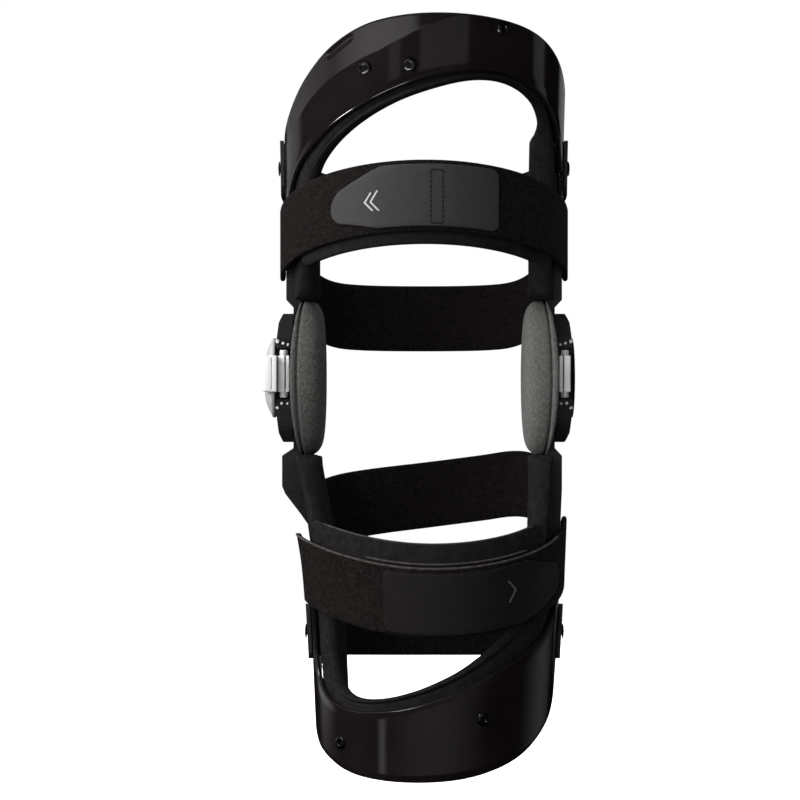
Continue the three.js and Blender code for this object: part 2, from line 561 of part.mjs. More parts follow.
function arm(rows, side, rivetZ) {
  const upper = rows[0].z > 0;
  const end = hingePlate(toothedEnd(upper ? 0 : 0.5), -ARM_WALL / 2, ARM_WALL / 2);
  if (!upper) {
    end.rotateX(Math.PI);
  }
  const z = upper ? PIVOT_HEIGHT : -PIVOT_HEIGHT;
  end.translate(side * (ARM_OUTER - ARM_WALL / 2), 0, z);
  const hole = roundBar(PIN_RADIUS + SEAT_GAP, -10, 10, z).translate(side * ARM_OUTER, 0, 0);
  return cut(join([end, sideBar(rows, side)]), [hole, rivetHole(side, rivetZ)]);
}

// Rivets hold a bracket, a shell and an arm together at the side of the limb.
function rivetHole(side, z) {
  const { x } = limbPoint(90 * side, z);
  const hole = roundBar(RIVET.shank_radius + HOLE_PLAY, -18, 10, z, 12);
  return hole.translate(x, 0, 0);
}

function rivet(side, z) {
  const { x } = limbPoint(90 * side, z);
  const seat = BRACKET_SEAT + BRACKET_WALL / 2 + SEAT_GAP;
  const foot = ARM_SEAT - ARM_WALL + 0.2;
  const shank = roundBar(RIVET.shank_radius, foot, seat + 0.2, z, 12);
  const head = new THREE.LatheGeometry(
    [
      new THREE.Vector2(0, 0),
      new THREE.Vector2(RIVET.head_radius, 0),
      new THREE.Vector2(RIVET.head_radius * 0.86, RIVET.head_height * 0.7),
      new THREE.Vector2(RIVET.head_radius * 0.5, RIVET.head_height),
      new THREE.Vector2(0, RIVET.head_height),
    ],
    SIDES,
  );
  head.rotateZ(-Math.PI / 2).translate(seat, 0, z);
  const whole = join([head, shank]);
  if (side < 0) {
    whole.rotateY(Math.PI).translate(0, 0, 2 * z);
  }
  return whole.translate(x, 0, 0);
}

// A slotted bracket outside a shell, slanted with the strap at that end of the brace.
function bracket(side, shape) {
  const { from_deg, slot_from_deg, slot_to_deg, to_deg, half_height } = BRACKET;
  const centre = hung(shape);
  const route = side > 0 ? [from_deg, to_deg] : [-to_deg, -from_deg];
  const half = (deg) => half_height - (Math.abs(deg) < from_deg + 4 ? 3 : 0);
  const plate = strap(evenRoute(...route, BRACKET_SEAT, 7), centre, half, half, BRACKET_WALL);
  const slotSpan = side > 0 ? [slot_from_deg, slot_to_deg] : [-slot_to_deg, -slot_from_deg];
  const slotHalf = always(END_STRAP_WIDTH / 2 + 0.6);
  const slot = strap(evenRoute(...slotSpan, BRACKET_SEAT, 1), centre, slotHalf, slotHalf, 4 * BRACKET_WALL);
  return cut(plate, [slot, rivetHole(side, centre(90))]);
}

// A small screw set square to a shell's skin, and the hole that it sits in.
function setSquare(geometry, { deg, z }) {
  const here = limbPoint(deg, z);
  const across = limbPoint(deg + 1, z).sub(limbPoint(deg - 1, z));
  const up = limbPoint(deg, z + 1).sub(limbPoint(deg, z - 1));
  const out = across.cross(up).normalize();
  const turn = new THREE.Quaternion().setFromUnitVectors(new THREE.Vector3(0, 1, 0), out);
  return geometry.applyQuaternion(turn).translate(here.x, here.y, here.z);
}

function screw(spot) {
  const { head_radius, head_height, shank_radius, shank_length } = SCREW;
  const profile = [
    new THREE.Vector2(0, -shank_length),
    new THREE.Vector2(shank_radius, -shank_length),
    new THREE.Vector2(shank_radius, SEAT_GAP),
    new THREE.Vector2(head_radius, SEAT_GAP),
    new THREE.Vector2(head_radius * 0.7, head_height),
    new THREE.Vector2(0, head_height),
  ];
  return setSquare(new THREE.LatheGeometry(profile, 10), spot);
}

function screwHole(spot) {
  const radius = SCREW.shank_radius + HOLE_PLAY;
  return setSquare(new THREE.CylinderGeometry(radius, radius, 12, 10), spot);
}

// Hinge plates: two round-ended plates round the arms, notched in front for the stop.
const STOP = { low: -7.5, high: 11.5, front: -17.5, back: -12.2, knob_radius: 1.7, knob_length: 3 };

function roundEnded(halfWidth, height) {
  const straight = height / 2 - halfWidth;
  const shape = new THREE.Shape();
  shape.absarc(0, straight, halfWidth, 0, Math.PI);
  shape.absarc(0, -straight, halfWidth, Math.PI, 2 * Math.PI);
  return shape;
}

function pinHoles() {
  return [PIVOT_HEIGHT, -PIVOT_HEIGHT].map((z) => roundBar(PIN_RADIUS + SEAT_GAP, 50, 90, z));
}

// The inner plate is an oval a little smaller than the knee pad that it carries.
function innerPlate() {
  const oval = new THREE.Shape();
  oval.absellipse(0, 0, CARRIER_HALF_DEPTH, CARRIER_HALF_HEIGHT, 0, 2 * Math.PI);
  return cut(hingePlate(oval, INNER_PLATE.from, INNER_PLATE.to), pinHoles());
}

function outerPlate() {
  const { from, ends, shoulder, to } = OUTER_PLATE;
  const half = HINGE_HEIGHT / 2;
  const profile = new THREE.Shape();
  profile.moveTo(from, -half);
  profile.lineTo(ends, -half);
  profile.lineTo(shoulder, -half + 5);
  profile.lineTo(to, -PIVOT_HEIGHT - 4);
  profile.lineTo(to, PIVOT_HEIGHT + 4);
  profile.lineTo(shoulder, half - 5);
  profile.lineTo(ends, half);
  profile.lineTo(from, half);
  const depth = 3 * HINGE_HALF_WIDTH;
  const wedge = new THREE.ExtrudeGeometry(profile, { depth, bevelEnabled: false });
  wedge.rotateX(Math.PI / 2).translate(0, depth / 2, 0);
  const plate = hingePlate(roundEnded(HINGE_HALF_WIDTH, HINGE_HEIGHT), from, to);
  const tapered = solidOf(plate).intersect(solidOf(wedge));
  const notch = new THREE.BoxGeometry(20, 10, STOP.high - STOP.low + 2 * STOP.knob_length + 2);
  notch.translate((from + to) / 2, STOP.back + SEAT_GAP - 5, (STOP.high + STOP.low) / 2);
  return cut(geometryOf(tapered), [notch, ...pinHoles()]);
}

// The extension stop: a small block in the hinge's front with a knob above and below it.
function extensionStop() {
  const [x, y] = [(OUTER_PLATE.from + OUTER_PLATE.to) / 2, (STOP.front + STOP.back) / 2];
  const middle = (STOP.low + STOP.high) / 2;
  const width = OUTER_PLATE.to - OUTER_PLATE.from - 3;
  const block = new THREE.BoxGeometry(width, STOP.back - STOP.front, STOP.high - STOP.low);
  block.translate(x, y, middle);
  const length = STOP.high - STOP.low + 2 * STOP.knob_length;
  const knobs = new THREE.CylinderGeometry(STOP.knob_radius, STOP.knob_radius, length, 10);
  knobs.rotateX(Math.PI / 2).translate(x, y, middle);
  return join([block, knobs]);
}

// The outer cap of a hinge. The viewer's left one is deep and has a lip over the stop, the right one is flat.
const CAPS = { left: { thick: 6, lip: 11 }, right: { thick: 1, lip: 0 } };

function hingeCap({ thick, lip }) {
  const disc = new THREE.LatheGeometry(
    [
      new THREE.Vector2(0, 0),
      new THREE.Vector2(CAP_RADIUS, 0),
      new THREE.Vector2(CAP_RADIUS, thick * 0.35),
      new THREE.Vector2(CAP_RADIUS * 0.9, thick * 0.8),
      new THREE.Vector2(CAP_RADIUS * 0.65, thick),
      new THREE.Vector2(0, thick),
    ],
    28,
  );
  disc.rotateZ(-Math.PI / 2).translate(CAP_SEAT, 0, 0);
  if (lip === 0) {
    return disc;
  }
  const block = new THREE.BoxGeometry(thick, lip, STOP.high - STOP.low);
  block.translate(CAP_SEAT + thick / 2, -CAP_RADIUS + 2, (STOP.high + STOP.low) / 2);
  return join([disc, block]);
}

// The knee pad: a domed oval cushion on the hinge's inner plate, flat where it meets the knee.
const PAD_DOME = [
  { out: 0, share: 0.96 },
  { out: 0.14, share: 1 },
  { out: 0.5, share: 0.975 },
  { out: 0.75, share: 0.89 },
  { out: 0.92, share: 0.75 },
  { out: 1, share: 0.58 },
];

function kneePad() {
  const around = 26;
  const ring = ({ out, share }) =>
    Array.from({ length: around }, (_, i) => {
      const angle = (2 * Math.PI * i) / around;
      const x = THREE.MathUtils.lerp(PAD.to, PAD.from, out);
      const y = PAD_HALF_DEPTH * share * Math.cos(angle);
      return new THREE.Vector3(x, y, PAD_HALF_HEIGHT * share * Math.sin(angle));
    });
  const rings = PAD_DOME.map(ring);
  const centres = [new THREE.Vector3(PAD.to, 0, 0), new THREE.Vector3(PAD.from, 0, 0)];
  const position = [...rings.flat(), ...centres].flatMap((p) => [p.x, p.y, p.z]);
  const [base, crown] = [rings.length * around, rings.length * around + 1];
  const top = (rings.length - 1) * around;
  const index = [];
  for (let i = 0; i < around; i += 1) {
    const next = (i + 1) % around;
    for (let r = 0; r < rings.length - 1; r += 1) {
      const [a, b] = [r * around + i, r * around + next];
      index.push(a, a + around, b, b, a + around, b + around);
    }
    index.push(base, i, next, crown, top + next, top + i);
  }
  const geometry = new THREE.BufferGeometry();
  geometry.setAttribute("position", new THREE.Float32BufferAttribute(position, 3));
  geometry.setIndex(index);
  return geometry;
}

// Assembly
const brace = new THREE.Group();

function add(group, name, geometry, material) {
  const mesh = new THREE.Mesh(geometry, material);
  mesh.name = name;
  group.add(mesh);
}

// A liner steps in under the arms at each side, and swells in front of them to close the space there.
const linerSkin = (deg) => {
  const share = THREE.MathUtils.smoothstep(Math.abs(deg), LINER_STEP_DEG.from, LINER_STEP_DEG.to);
  return THREE.MathUtils.lerp(LINER_SEAT_FRONT, LINER_SEAT_SIDE, share);
};
const linerBack = (deg) => {
  const share = THREE.MathUtils.smoothstep(Math.abs(deg), LINER_SWELL_DEG.from, LINER_SWELL_DEG.to);
  return THREE.MathUtils.lerp(LINER_SEAT_FRONT, LINER_SEAT_SIDE, share) - LINER_WALL;
};
const SIDE_NAMES = [
  { side: -1, name: "left" },
  { side: 1, name: "right" },
];
const FRAMES = [
  {
    name: "thigh",
    shell: THIGH_SHELL,
    lean: THIGH_LEAN,
    liner: THIGH_LINER,
    arms: { left: THIGH_ARM, right: THIGH_ARM },
    screws: THIGH_SCREWS,
    frontStrap: THIGH_STRAP,
    strapPad: THIGH_STRAP_PAD,
    tab: THIGH_TAB,
    kneeStrap: THIGH_KNEE_STRAP,
    endStrap: THIGH_END_STRAP,
  },
  {
    name: "calf",
    shell: CALF_SHELL,
    lean: CALF_LEAN,
    liner: CALF_LINER,
    arms: { left: CALF_ARM_LEFT, right: CALF_ARM_RIGHT },
    screws: CALF_SCREWS,
    frontStrap: CALF_STRAP,
    strapPad: CALF_STRAP_PAD,
    tab: CALF_TAB,
    kneeStrap: CALF_KNEE_STRAP,
    endStrap: CALF_END_STRAP,
  },
];

for (const frame of FRAMES) {
  const { name } = frame;
  const rivetZ = hung(frame.endStrap)(90);
  const shell = archedBand(frame.shell, SHELL_RIM, frame.lean, always(0), always(-SHELL_WALL), 34);
  const holes = [...frame.screws.map(screwHole), ...SIDE_NAMES.map(({ side }) => rivetHole(side, rivetZ))];
  add(brace, `${name}_shell`, cut(shell, holes), frameBlack);
  const liner = archedBand(frame.liner, LINER_RIM, frame.lean, linerSkin, linerBack, 30);
  add(brace, `${name}_liner`, liner, linerBlack);
  frame.screws.forEach((spot, i) => add(brace, `${name}_screw_${i + 1}`, screw(spot), steel));
  for (const { side, name: sideName } of SIDE_NAMES) {
    add(brace, `${name}_arm_${sideName}`, arm(frame.arms[sideName], side, rivetZ), hingeBlack);
    add(brace, `${name}_strap_bracket_${sideName}`, bracket(side, frame.endStrap), hingeBlack);
    add(brace, `${name}_bracket_rivet_${sideName}`, rivet(side, rivetZ), steel);
  }
  add(brace, `${name}_front_strap`, frontStrap(frame.frontStrap), webbing);
  add(brace, `${name}_front_strap_pad`, frontStrapPad(frame.frontStrap, frame.strapPad), linerBlack);
  add(brace, `${name}_front_strap_tab`, closingTab(frame.frontStrap, frame.tab), tabGrey);
  add(brace, `${name}_knee_strap`, kneeStrap(frame.kneeStrap), webbing);
  add(brace, `${name}_end_strap`, endStrap(frame.endStrap), webbing);
}

for (const { side, name } of SIDE_NAMES) {
  const hinge = new THREE.Group();
  hinge.scale.x = side;
  add(hinge, `hinge_inner_plate_${name}`, innerPlate(), hingeBlack);
  add(hinge, `hinge_outer_plate_${name}`, outerPlate(), hingeBlack);
  add(hinge, `hinge_cap_${name}`, hingeCap(CAPS[name]), name === "left" ? silver : hingeBlack);
  add(hinge, `hinge_stop_${name}`, extensionStop(), silver);
  const pin = (z) => roundBar(PIN_RADIUS, INNER_PLATE.from + 0.2, OUTER_PLATE.to - 0.1, z);
  add(hinge, `hinge_pin_upper_${name}`, pin(PIVOT_HEIGHT), steel);
  add(hinge, `hinge_pin_lower_${name}`, pin(-PIVOT_HEIGHT), steel);
  add(hinge, `knee_pad_${name}`, kneePad(), padGrey);
  brace.add(hinge);
}

export default brace;
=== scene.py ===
import math
from types import SimpleNamespace

import bpy
import numpy as np
from bpy.props import FloatProperty, FloatVectorProperty, PointerProperty
from bpy.types import Operator, Panel, PropertyGroup
from mathutils import Matrix, Vector


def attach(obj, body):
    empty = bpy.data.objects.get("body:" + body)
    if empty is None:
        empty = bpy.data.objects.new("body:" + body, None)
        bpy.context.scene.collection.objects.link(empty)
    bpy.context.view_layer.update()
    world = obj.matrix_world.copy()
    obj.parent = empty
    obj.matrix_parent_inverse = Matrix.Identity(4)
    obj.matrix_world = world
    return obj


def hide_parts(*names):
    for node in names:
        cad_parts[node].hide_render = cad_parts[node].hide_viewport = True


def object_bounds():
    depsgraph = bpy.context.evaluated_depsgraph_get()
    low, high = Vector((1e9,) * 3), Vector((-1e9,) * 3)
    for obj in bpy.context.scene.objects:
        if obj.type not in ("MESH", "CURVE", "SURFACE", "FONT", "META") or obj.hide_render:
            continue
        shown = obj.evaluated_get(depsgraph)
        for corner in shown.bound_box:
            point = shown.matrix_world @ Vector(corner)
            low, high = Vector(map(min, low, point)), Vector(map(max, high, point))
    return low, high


bl_info = {
    "name": "Hinged knee brace",
    "version": (1, 0, 0),
    "blender": (4, 5, 0),
    "location": "3D View > Sidebar > Knee brace",
    "description": "Dresses a hinged knee brace with its shells, liners, straps, tabs, pads and hinges",
    "category": "Add Mesh",
}

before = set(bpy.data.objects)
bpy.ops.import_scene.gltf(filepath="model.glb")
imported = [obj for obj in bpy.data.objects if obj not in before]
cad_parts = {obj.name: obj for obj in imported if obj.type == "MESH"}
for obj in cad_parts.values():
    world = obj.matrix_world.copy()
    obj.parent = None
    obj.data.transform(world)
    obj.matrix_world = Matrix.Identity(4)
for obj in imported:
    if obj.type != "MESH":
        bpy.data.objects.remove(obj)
CAD_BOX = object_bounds()
MM = 0.001

# The form that the shells follow: z, sideways shift, half width, depth in front, depth behind (mm)
FORM = np.array([
    (-225, 4, 59.5, 51, 47),
    (-180, 5, 62.5, 54, 52),
    (-130, 5.5, 65.3, 58, 58),
    (-100, 4.9, 67, 59.5, 56),
    (-80, 3.7, 69, 60.5, 53.5),
    (-56, 1.6, 71.8, 62.3, 51),
    (-36, 0, 73.4, 64, 50),
    (36, 0, 73.4, 69, 51),
    (75, 0, 73.4, 74, 57),
    (110, 0, 73.6, 77, 64),
    (150, 0, 74.6, 80, 68),
    (200, 0, 76, 82, 70),
])
HEIGHT, SHIFT, HALF_WIDTH, FRONT, BACK = range(5)

# Edges of the shells and liners: outer angle and height, then angle and height at the opening (deg, mm)
THIGH_SHELL = np.array([
    (-102, 70, -82, 70), (-104, 98, -80, 88), (-99, 116, -73, 99), (-87, 127, -63, 109.5),
    (-73, 139.5, -51, 118.6), (-58, 155, -38, 128.5), (-43, 168, -24, 136.8), (-26, 177, -10, 144.2),
    (-8, 180.8, 4, 149.8), (12, 181.2, 18, 152.7), (32, 179.2, 32, 152.4), (49, 175, 45, 148),
    (64, 167.5, 57, 140.9), (78, 157, 67, 131.5), (91, 146, 75, 119), (101, 132, 80, 104),
    (104, 106, 82, 88), (102, 70, 82, 70),
])
CALF_SHELL = np.array([
    (-102, -98, -82, -98), (-104, -124, -83, -120), (-104, -146, -82, -138), (-101, -163, -77, -151),
    (-92, -179, -68, -161.7), (-79, -190.5, -56, -168), (-63, -198.5, -42, -170.9), (-46, -204, -28, -170.6),
    (-26, -206.6, -14, -168.6), (-6, -207, 0, -164), (13, -205.6, 14, -158), (30, -202, 29, -150.5),
    (47, -196, 44, -143.3), (62, -187.5, 58, -135.2), (76, -176.5, 69, -127.5), (90, -162, 77, -119),
    (101, -147, 81, -110), (104, -124, 82, -103), (102, -92, 82, -92),
])
THIGH_LINER = np.array([
    (-101, 40.4, -66, 40.4), (-101, 72, -62, 72), (-101, 94, -58, 95), (-95, 110, -52, 107.5),
    (-84, 122, -44, 116), (-70, 134.5, -34, 124), (-55, 150, -22, 132), (-40, 162.5, -9, 139),
    (-23, 172, 5, 144.5), (-4, 176.5, 17, 148), (16, 177.5, 28, 149), (35, 174.8, 38, 147.5),
    (51, 169.8, 48, 143.6), (66, 161.5, 57, 137.5), (80, 151, 63, 128), (93, 138, 67, 113),
    (100, 119, 68.5, 97), (101, 84, 68, 76), (101, 40.4, 67, 40.4),
])
CALF_LINER = np.array([
    (-101, -40.4, -68, -40.4), (-101, -76, -64, -76), (-101, -104, -61, -106), (-101, -126, -60, -130),
    (-101, -146, -59, -147), (-97, -161, -55, -157.5), (-88, -174, -48, -163.3), (-75, -185, -37, -165.2),
    (-59, -193.5, -24, -163.9), (-42, -199.3, -11, -160.4), (-22, -202, 1, -155.5), (-3, -202.5, 12, -149.8),
    (16, -200.5, 21, -143.8), (33, -196.3, 29, -138), (50, -189.5, 37, -132), (65, -180, 45, -125),
    (79, -168.5, 52, -116), (93, -153, 57, -104), (100, -132, 60, -92), (101, -90, 63, -74),
    (101, -40.4, 67, -40.4),
])
SHELLS = {"thigh": THIGH_SHELL, "calf": CALF_SHELL}
LINERS = {"thigh": THIGH_LINER, "calf": CALF_LINER}

# Where the outer rim leans in: angles between which it fades at the left and at the right (deg)
LEAN_FADE = {"thigh": (-94, -36, 0, 24), "calf": (-78, -58, 58, 78)}
# The facet along a shell's outer rim: angle, and its share of the band's width
FACETS = {
    "thigh": np.array([
        (-104, 0.18), (-80, 0.36), (-60, 0.42), (-41, 0.44), (-30, 0.46), (-18, 0.45), (-9, 0.37),
        (8, 0.11), (18, 0.0),
    ]),
    "calf": np.array([(-104, 0.1), (0, 0.09), (104, 0.07)]),
}
# Its tilt (deg)
FACET_TILT = {"thigh": 15.0, "calf": 16.0}
# A slot sunk in the thigh's facet, with a wall that slopes from outside its outline to inside (deg, mm)
RIM_SLOT = SimpleNamespace(deg=-37.5, z=167.2, tilt=28.0, length=19.0, width=4.4, depth=0.9,
                           wall_outside=0.8, wall_inside=1.4)
# The shells' mesh: rounded edge, stations along, rows across, corners, rows over the lip and at the rim (mm)
SHELL = SimpleNamespace(edge=1.3, stations=380, across=56, corner=7.0,
                        lip_from=1.8, lip_step=0.8, lip_past=1.2, rim_row=1.4)
# The liners' mesh: rounded edge, stations along, rows across, corners, rows over the seam (mm)
LINER = SimpleNamespace(edge=2.2, stations=220, across=26, corner=6.5,
                        seam_rows=(3.0, 3.8, 4.4, 4.9, 5.4, 6.2))
# Distances out at the front and beside the arms, angles over which skin and back step in, lean of the rim
LINER_SEAT = SimpleNamespace(front=-3.3, side=-11.6, skin_step=(75.5, 78.5), back_step=(58, 74),
                             lean=4.4, lean_from=0.4)
# Piping and seam round a liner's opening: distance from it, reach, and height or depth on skin and back
PIPE = SimpleNamespace(at=2.3, reach=1.3, back=0.5)
SEAM = SimpleNamespace(at=4.9, reach=0.55, skin=0.8, back=0.7)
# Heights over which a liner comes back out to its shell past the arms, for the calf past its own end
ARM_ENDS = {"thigh": (122.0, 134.0), "calf": (250.0, 260.0)}
# Heights up to which a liner is thicker beside the hinge, in full and at all, and by how much
HINGE_SWELL = SimpleNamespace(full=44.0, none=54.0, out=2.4)

# Straps over the front: middle, left and right heights, left and right bow
FRONT_STRAPS = {
    "thigh": SimpleNamespace(mid=90.3, left=69.0, right=69.0, left_bow=1.0, right_bow=1.0),
    "calf": SimpleNamespace(mid=-114.5, left=-100.0, right=-91.0, left_bow=1.9, right_bow=1.0),
}
# Angle that they reach to at each side
FRONT_REACH = 97.0
# Distances out of these straps, of the pads behind them and of the tabs on them
FRONT_SEAT = 1.5
PAD_SEAT = -1.55
TAB_SEAT = 3.65
# Pads behind them: angles from and to, and how far they pass the strap's upper and lower edge
STRAP_PADS = {"thigh": (-61, 55, -4, 6.2), "calf": (-66, 58, 12.4, -4)}
# Closing tabs: angles of tip and end, reach above and below, angles over which each edge slopes to the tip
TABS = {
    "thigh": SimpleNamespace(tip=-38.0, end=28.5, above=15.6, below=15.3, slope_above=21.0, slope_below=20.0),
    "calf": SimpleNamespace(tip=66.0, end=-22.0, above=15.0, below=16.4, slope_above=24.0, slope_below=24.0),
}
# Their rounded tips: how far below the tab's middle line, half height, angle over which they round (mm, deg)
TIP_DROP = 2.0
TIP_HALF = 6.6
TIP_DEG = 4.6
# Direction marks on the tabs: end, point and other end of each stroke (deg, mm)
MARKS = {
    "thigh": (
        ((-20.4, 92.1), (-23.0, 86.9), (-19.6, 82.5)),
        ((-17.8, 93.1), (-20.7, 87.2), (-17.2, 82.5)),
    ),
    "calf": (((31.6, -103.6), (35.6, -108.1), (32.2, -115.2)),),
}
# The box of stitches on the thigh tab: angles, and heights from the tab's middle line
STITCH_BOX = SimpleNamespace(from_deg=1.9, to_deg=6.4, low=-13.7, high=12.6)
# How deep a mark's edge is sunk in its tab, and how far its face is proud
MARK_SINK = 0.1
MARK_RISE = 0.12
# A stitch: place along it and share of the thread's radius
STITCH_ROWS = np.array([(-0.5, 0.0), (-0.42, 0.7), (-0.2, 1.0), (0.2, 1.0), (0.42, 0.7), (0.5, 0.0)])
# Its share of a step, flatness, height on the tab, points round it, and how near its direction is taken
STITCH = SimpleNamespace(share=0.72, flat=0.6, proud=0.05, around=8, near=0.3)
# Bound edges on the calf: angles from and to, seat, height above the strap's middle line, radius
BINDINGS = {
    "front_strap_binding": (-92.0, 68.0, 2.5, 17.4, 0.65),
    "front_strap_groove_binding": (-30.0, 44.0, 1.7, 19.6, 0.55),
    "front_strap_pad_binding": (-54.0, 50.0, -0.9, 29.8, 0.5),
}
# How far from its ends such an edge tapers
BEAD_TAPER = 6.0

# Rear straps nearest the hinges: angle, distance out from the shells' skin, height
KNEE_SEAT = -10.1
KNEE_STRAPS = {
    "thigh": np.array([
        (86, KNEE_SEAT, 62), (97, KNEE_SEAT, 60.5), (107, -7.5, 54.5), (117, -3, 47), (127, 0, 40),
        (138, 0.5, 35.2), (152, -0.5, 33.4), (180, -1.2, 33), (208, -0.5, 33.4), (222, 0.5, 35.2),
        (233, 0, 40), (243, -3, 47), (253, -7.5, 54.5), (263, KNEE_SEAT, 60.5), (274, KNEE_SEAT, 62),
    ]),
    "calf": np.array([
        (86, KNEE_SEAT, -77), (97, KNEE_SEAT, -74), (107, -7.5, -67), (117, -4, -61.5), (127, -1.5, -58),
        (140, 0, -57.5), (155, -0.5, -60), (180, -1, -64), (205, -0.5, -67.5), (220, 0, -70),
        (233, -1.5, -73), (243, -4, -76.5), (253, -7.5, -80.5), (263, KNEE_SEAT, -84), (274, KNEE_SEAT, -86),
    ]),
}
# Rear straps at the ends of the brace: heights at the side and behind
END_STRAPS = {"thigh": (112.5, 94.0), "calf": (-133.5, -140.0)}
# Angle where their brackets start
BRACKET_FROM = 84.0
# A tail folded back through its bracket: angle, distance out
FOLD = np.array([
    (138, 4.5), (128, 4.5), (118.5, 4.5), (114, 4.4), (111.7, 3.5), (110.2, 1.45), (111.7, -0.6),
    (114, -1.5), (118.5, -1.6), (125, -1.6), (140, -1.6), (160, -1.6), (180, -1.6),
])

# How each kind of strap is made: rounding of its edges and of its corners at both ends, stations along it
FRONT_MAKE = SimpleNamespace(edge=1.1, corners=(5.0, 5.0), stations=240)
PAD_MAKE = SimpleNamespace(edge=1.3, corners=(8.0, 8.0), stations=180)
KNEE_MAKE = SimpleNamespace(edge=1.1, corners=(1.2, 1.2), stations=240)
END_MAKE = SimpleNamespace(edge=1.1, corners=(4.0, 4.0), stations=420)
TAB_MAKES = {
    "thigh": SimpleNamespace(edge=0.6, corners=(0.01, 4.0), stations=170),
    "calf": SimpleNamespace(edge=0.6, corners=(4.0, 0.01), stations=170),
}
# The most of a strap's width that one rounded edge takes up
EDGE_SHARE = 0.45

# Screws in the shells: angle and height
SCREWS = {
    "thigh": ((-24, 154.5), (-6, 155.2), (31, 174.8)),
    "calf": ((-51, -188.5), (23, -174.3)),
}
# The sides of the brace, as signs along x
SIDES = {"left": -1, "right": 1}

# Across the hinge, as distances out from the middle of the brace (mm)
HINGE = SimpleNamespace(pad_back=61.7, plate=64.3, rim_reach=69.9)
# Caps: distance out and radius, then the thickness and slot of each
CAP = SimpleNamespace(seat=78.3, radius=21.0)
CAPS = {"left": (6.0, "silver"), "right": (1.0, "hinge_black")}
# The silver cap's lip: how far it passes the disc's edge and lies on the disc, and the reach of its hook
LIP = SimpleNamespace(past=3.5, onto=7.5, rounding=1.1,
                      hook_in=1.5, hook_out=2.0, hook_back=-15.9, hook_rounding=0.6)
# Stops: heights, depths, middle's distance out, rounding, and the radius, reach and overlap of their collars
STOP = SimpleNamespace(low=-7.5, high=11.5, front=-17.5, back=-12.2, middle=73.55, rounding=0.45,
                       collar=2.2, collar_reach=3.0, collar_sink=1.0)
# Their columns: distances out from and to, and how far each stands back
STOP_COLUMNS = ((70.6, 72.5, 0.7), (73.0, 76.5, 0.0))
# Small pins beside them: distance out, height, radius, and the depths that they all run between
STOP_PINS = (
    (71.3, 17.3, 0.7), (73.9, 18.0, 0.8), (76.9, 19.0, 1.1),
    (71.6, -13.6, 0.7), (74.6, -13.4, 0.8), (76.9, -15.8, 0.8),
)
PIN_DEPTHS = (-13.5, -15.9)
# Widths of the softened edges of the solids that keep their shape
BEVELS = SimpleNamespace(arm=0.7, bracket=0.5, inner_plate=0.5, outer_plate=0.9, pin=0.3)

# The knee pads: half depth and half height, points round, and how fast the rim's reach falls from its front
PAD_HALF = (28.0, 41.0)
PAD_AROUND = 120
RIM_EASE = 1.4
# Their outline from back to face: share of the rim's reach, distance in from the back, share of the oval
PAD_ROWS = np.array([
    (0, 0, 0.5), (0, 0, 0.962), (0.5, 0, 0.966), (0.93, 0, 0.97), (1, 0, 0.98), (1, 0, 0.997),
    (0.93, 0, 1.01), (0.84, 0, 1.014), (0.74, 0, 1.011), (0.66, 0, 1.0), (0.61, 0, 0.984), (0.57, 0, 0.974),
    (0.53, 0, 0.984), (0.46, 0, 0.997), (0.35, 0, 1.005), (0.18, 0, 1.006), (0, 0.6, 1.002), (0, 1.5, 0.998),
    (0, 2.4, 0.993), (0, 3.3, 0.985), (0, 4.2, 0.974), (0, 5.1, 0.96), (0, 5.9, 0.942), (0, 6.6, 0.92),
    (0, 7.3, 0.893), (0, 7.9, 0.86), (0, 8.4, 0.82), (0, 8.8, 0.775), (0, 9.1, 0.725), (0, 9.35, 0.67),
    (0, 9.5, 0.61), (0, 9.6, 0.55), (0, 9.65, 0.49), (0, 9.7, 0.43), (0, 9.7, 0.37), (0, 9.7, 0.31),
    (0, 9.7, 0.25), (0, 9.7, 0.19), (0, 9.7, 0.13), (0, 9.7, 0.07),
])
# Rows from the back that keep their place while the cover swells
PAD_HELD_ROWS = 17
# Their cover as cloth: frames, quality, mass, stiffness, air pressure, and the farthest that it swells (mm)
SWELL = SimpleNamespace(frames=20, quality=6, mass=0.15, stretch=14, bend=0.4, pressure=4, most=0.6)

# Painted shade: the silver cap's disc and lip are darker copies of the stops' silver, offsetting the stronger
# light on them
DISC_PAINTED_SHADE = 0.42
LIP_PAINTED_SHADE = 0.68
# Colour of a worn edge, and how sharp an edge is where wear starts and is full
WORN = (0.2, 0.2, 0.2, 1)
WORN_EDGE = (0.52, 0.6)
# A pattern drawn out along its height
UPRIGHT = (1, 1, 0.12)
# Sockets of a colour mix: share, the two colours, and the result
MIX_SHARE, MIX_FIRST, MIX_SECOND, MIX_RESULT = 0, 6, 7, 2

# Shares of a panel's half width and half height over which its light fades
SOFT = (0.5, 0.5)
LONG = (1.0, 0.4)
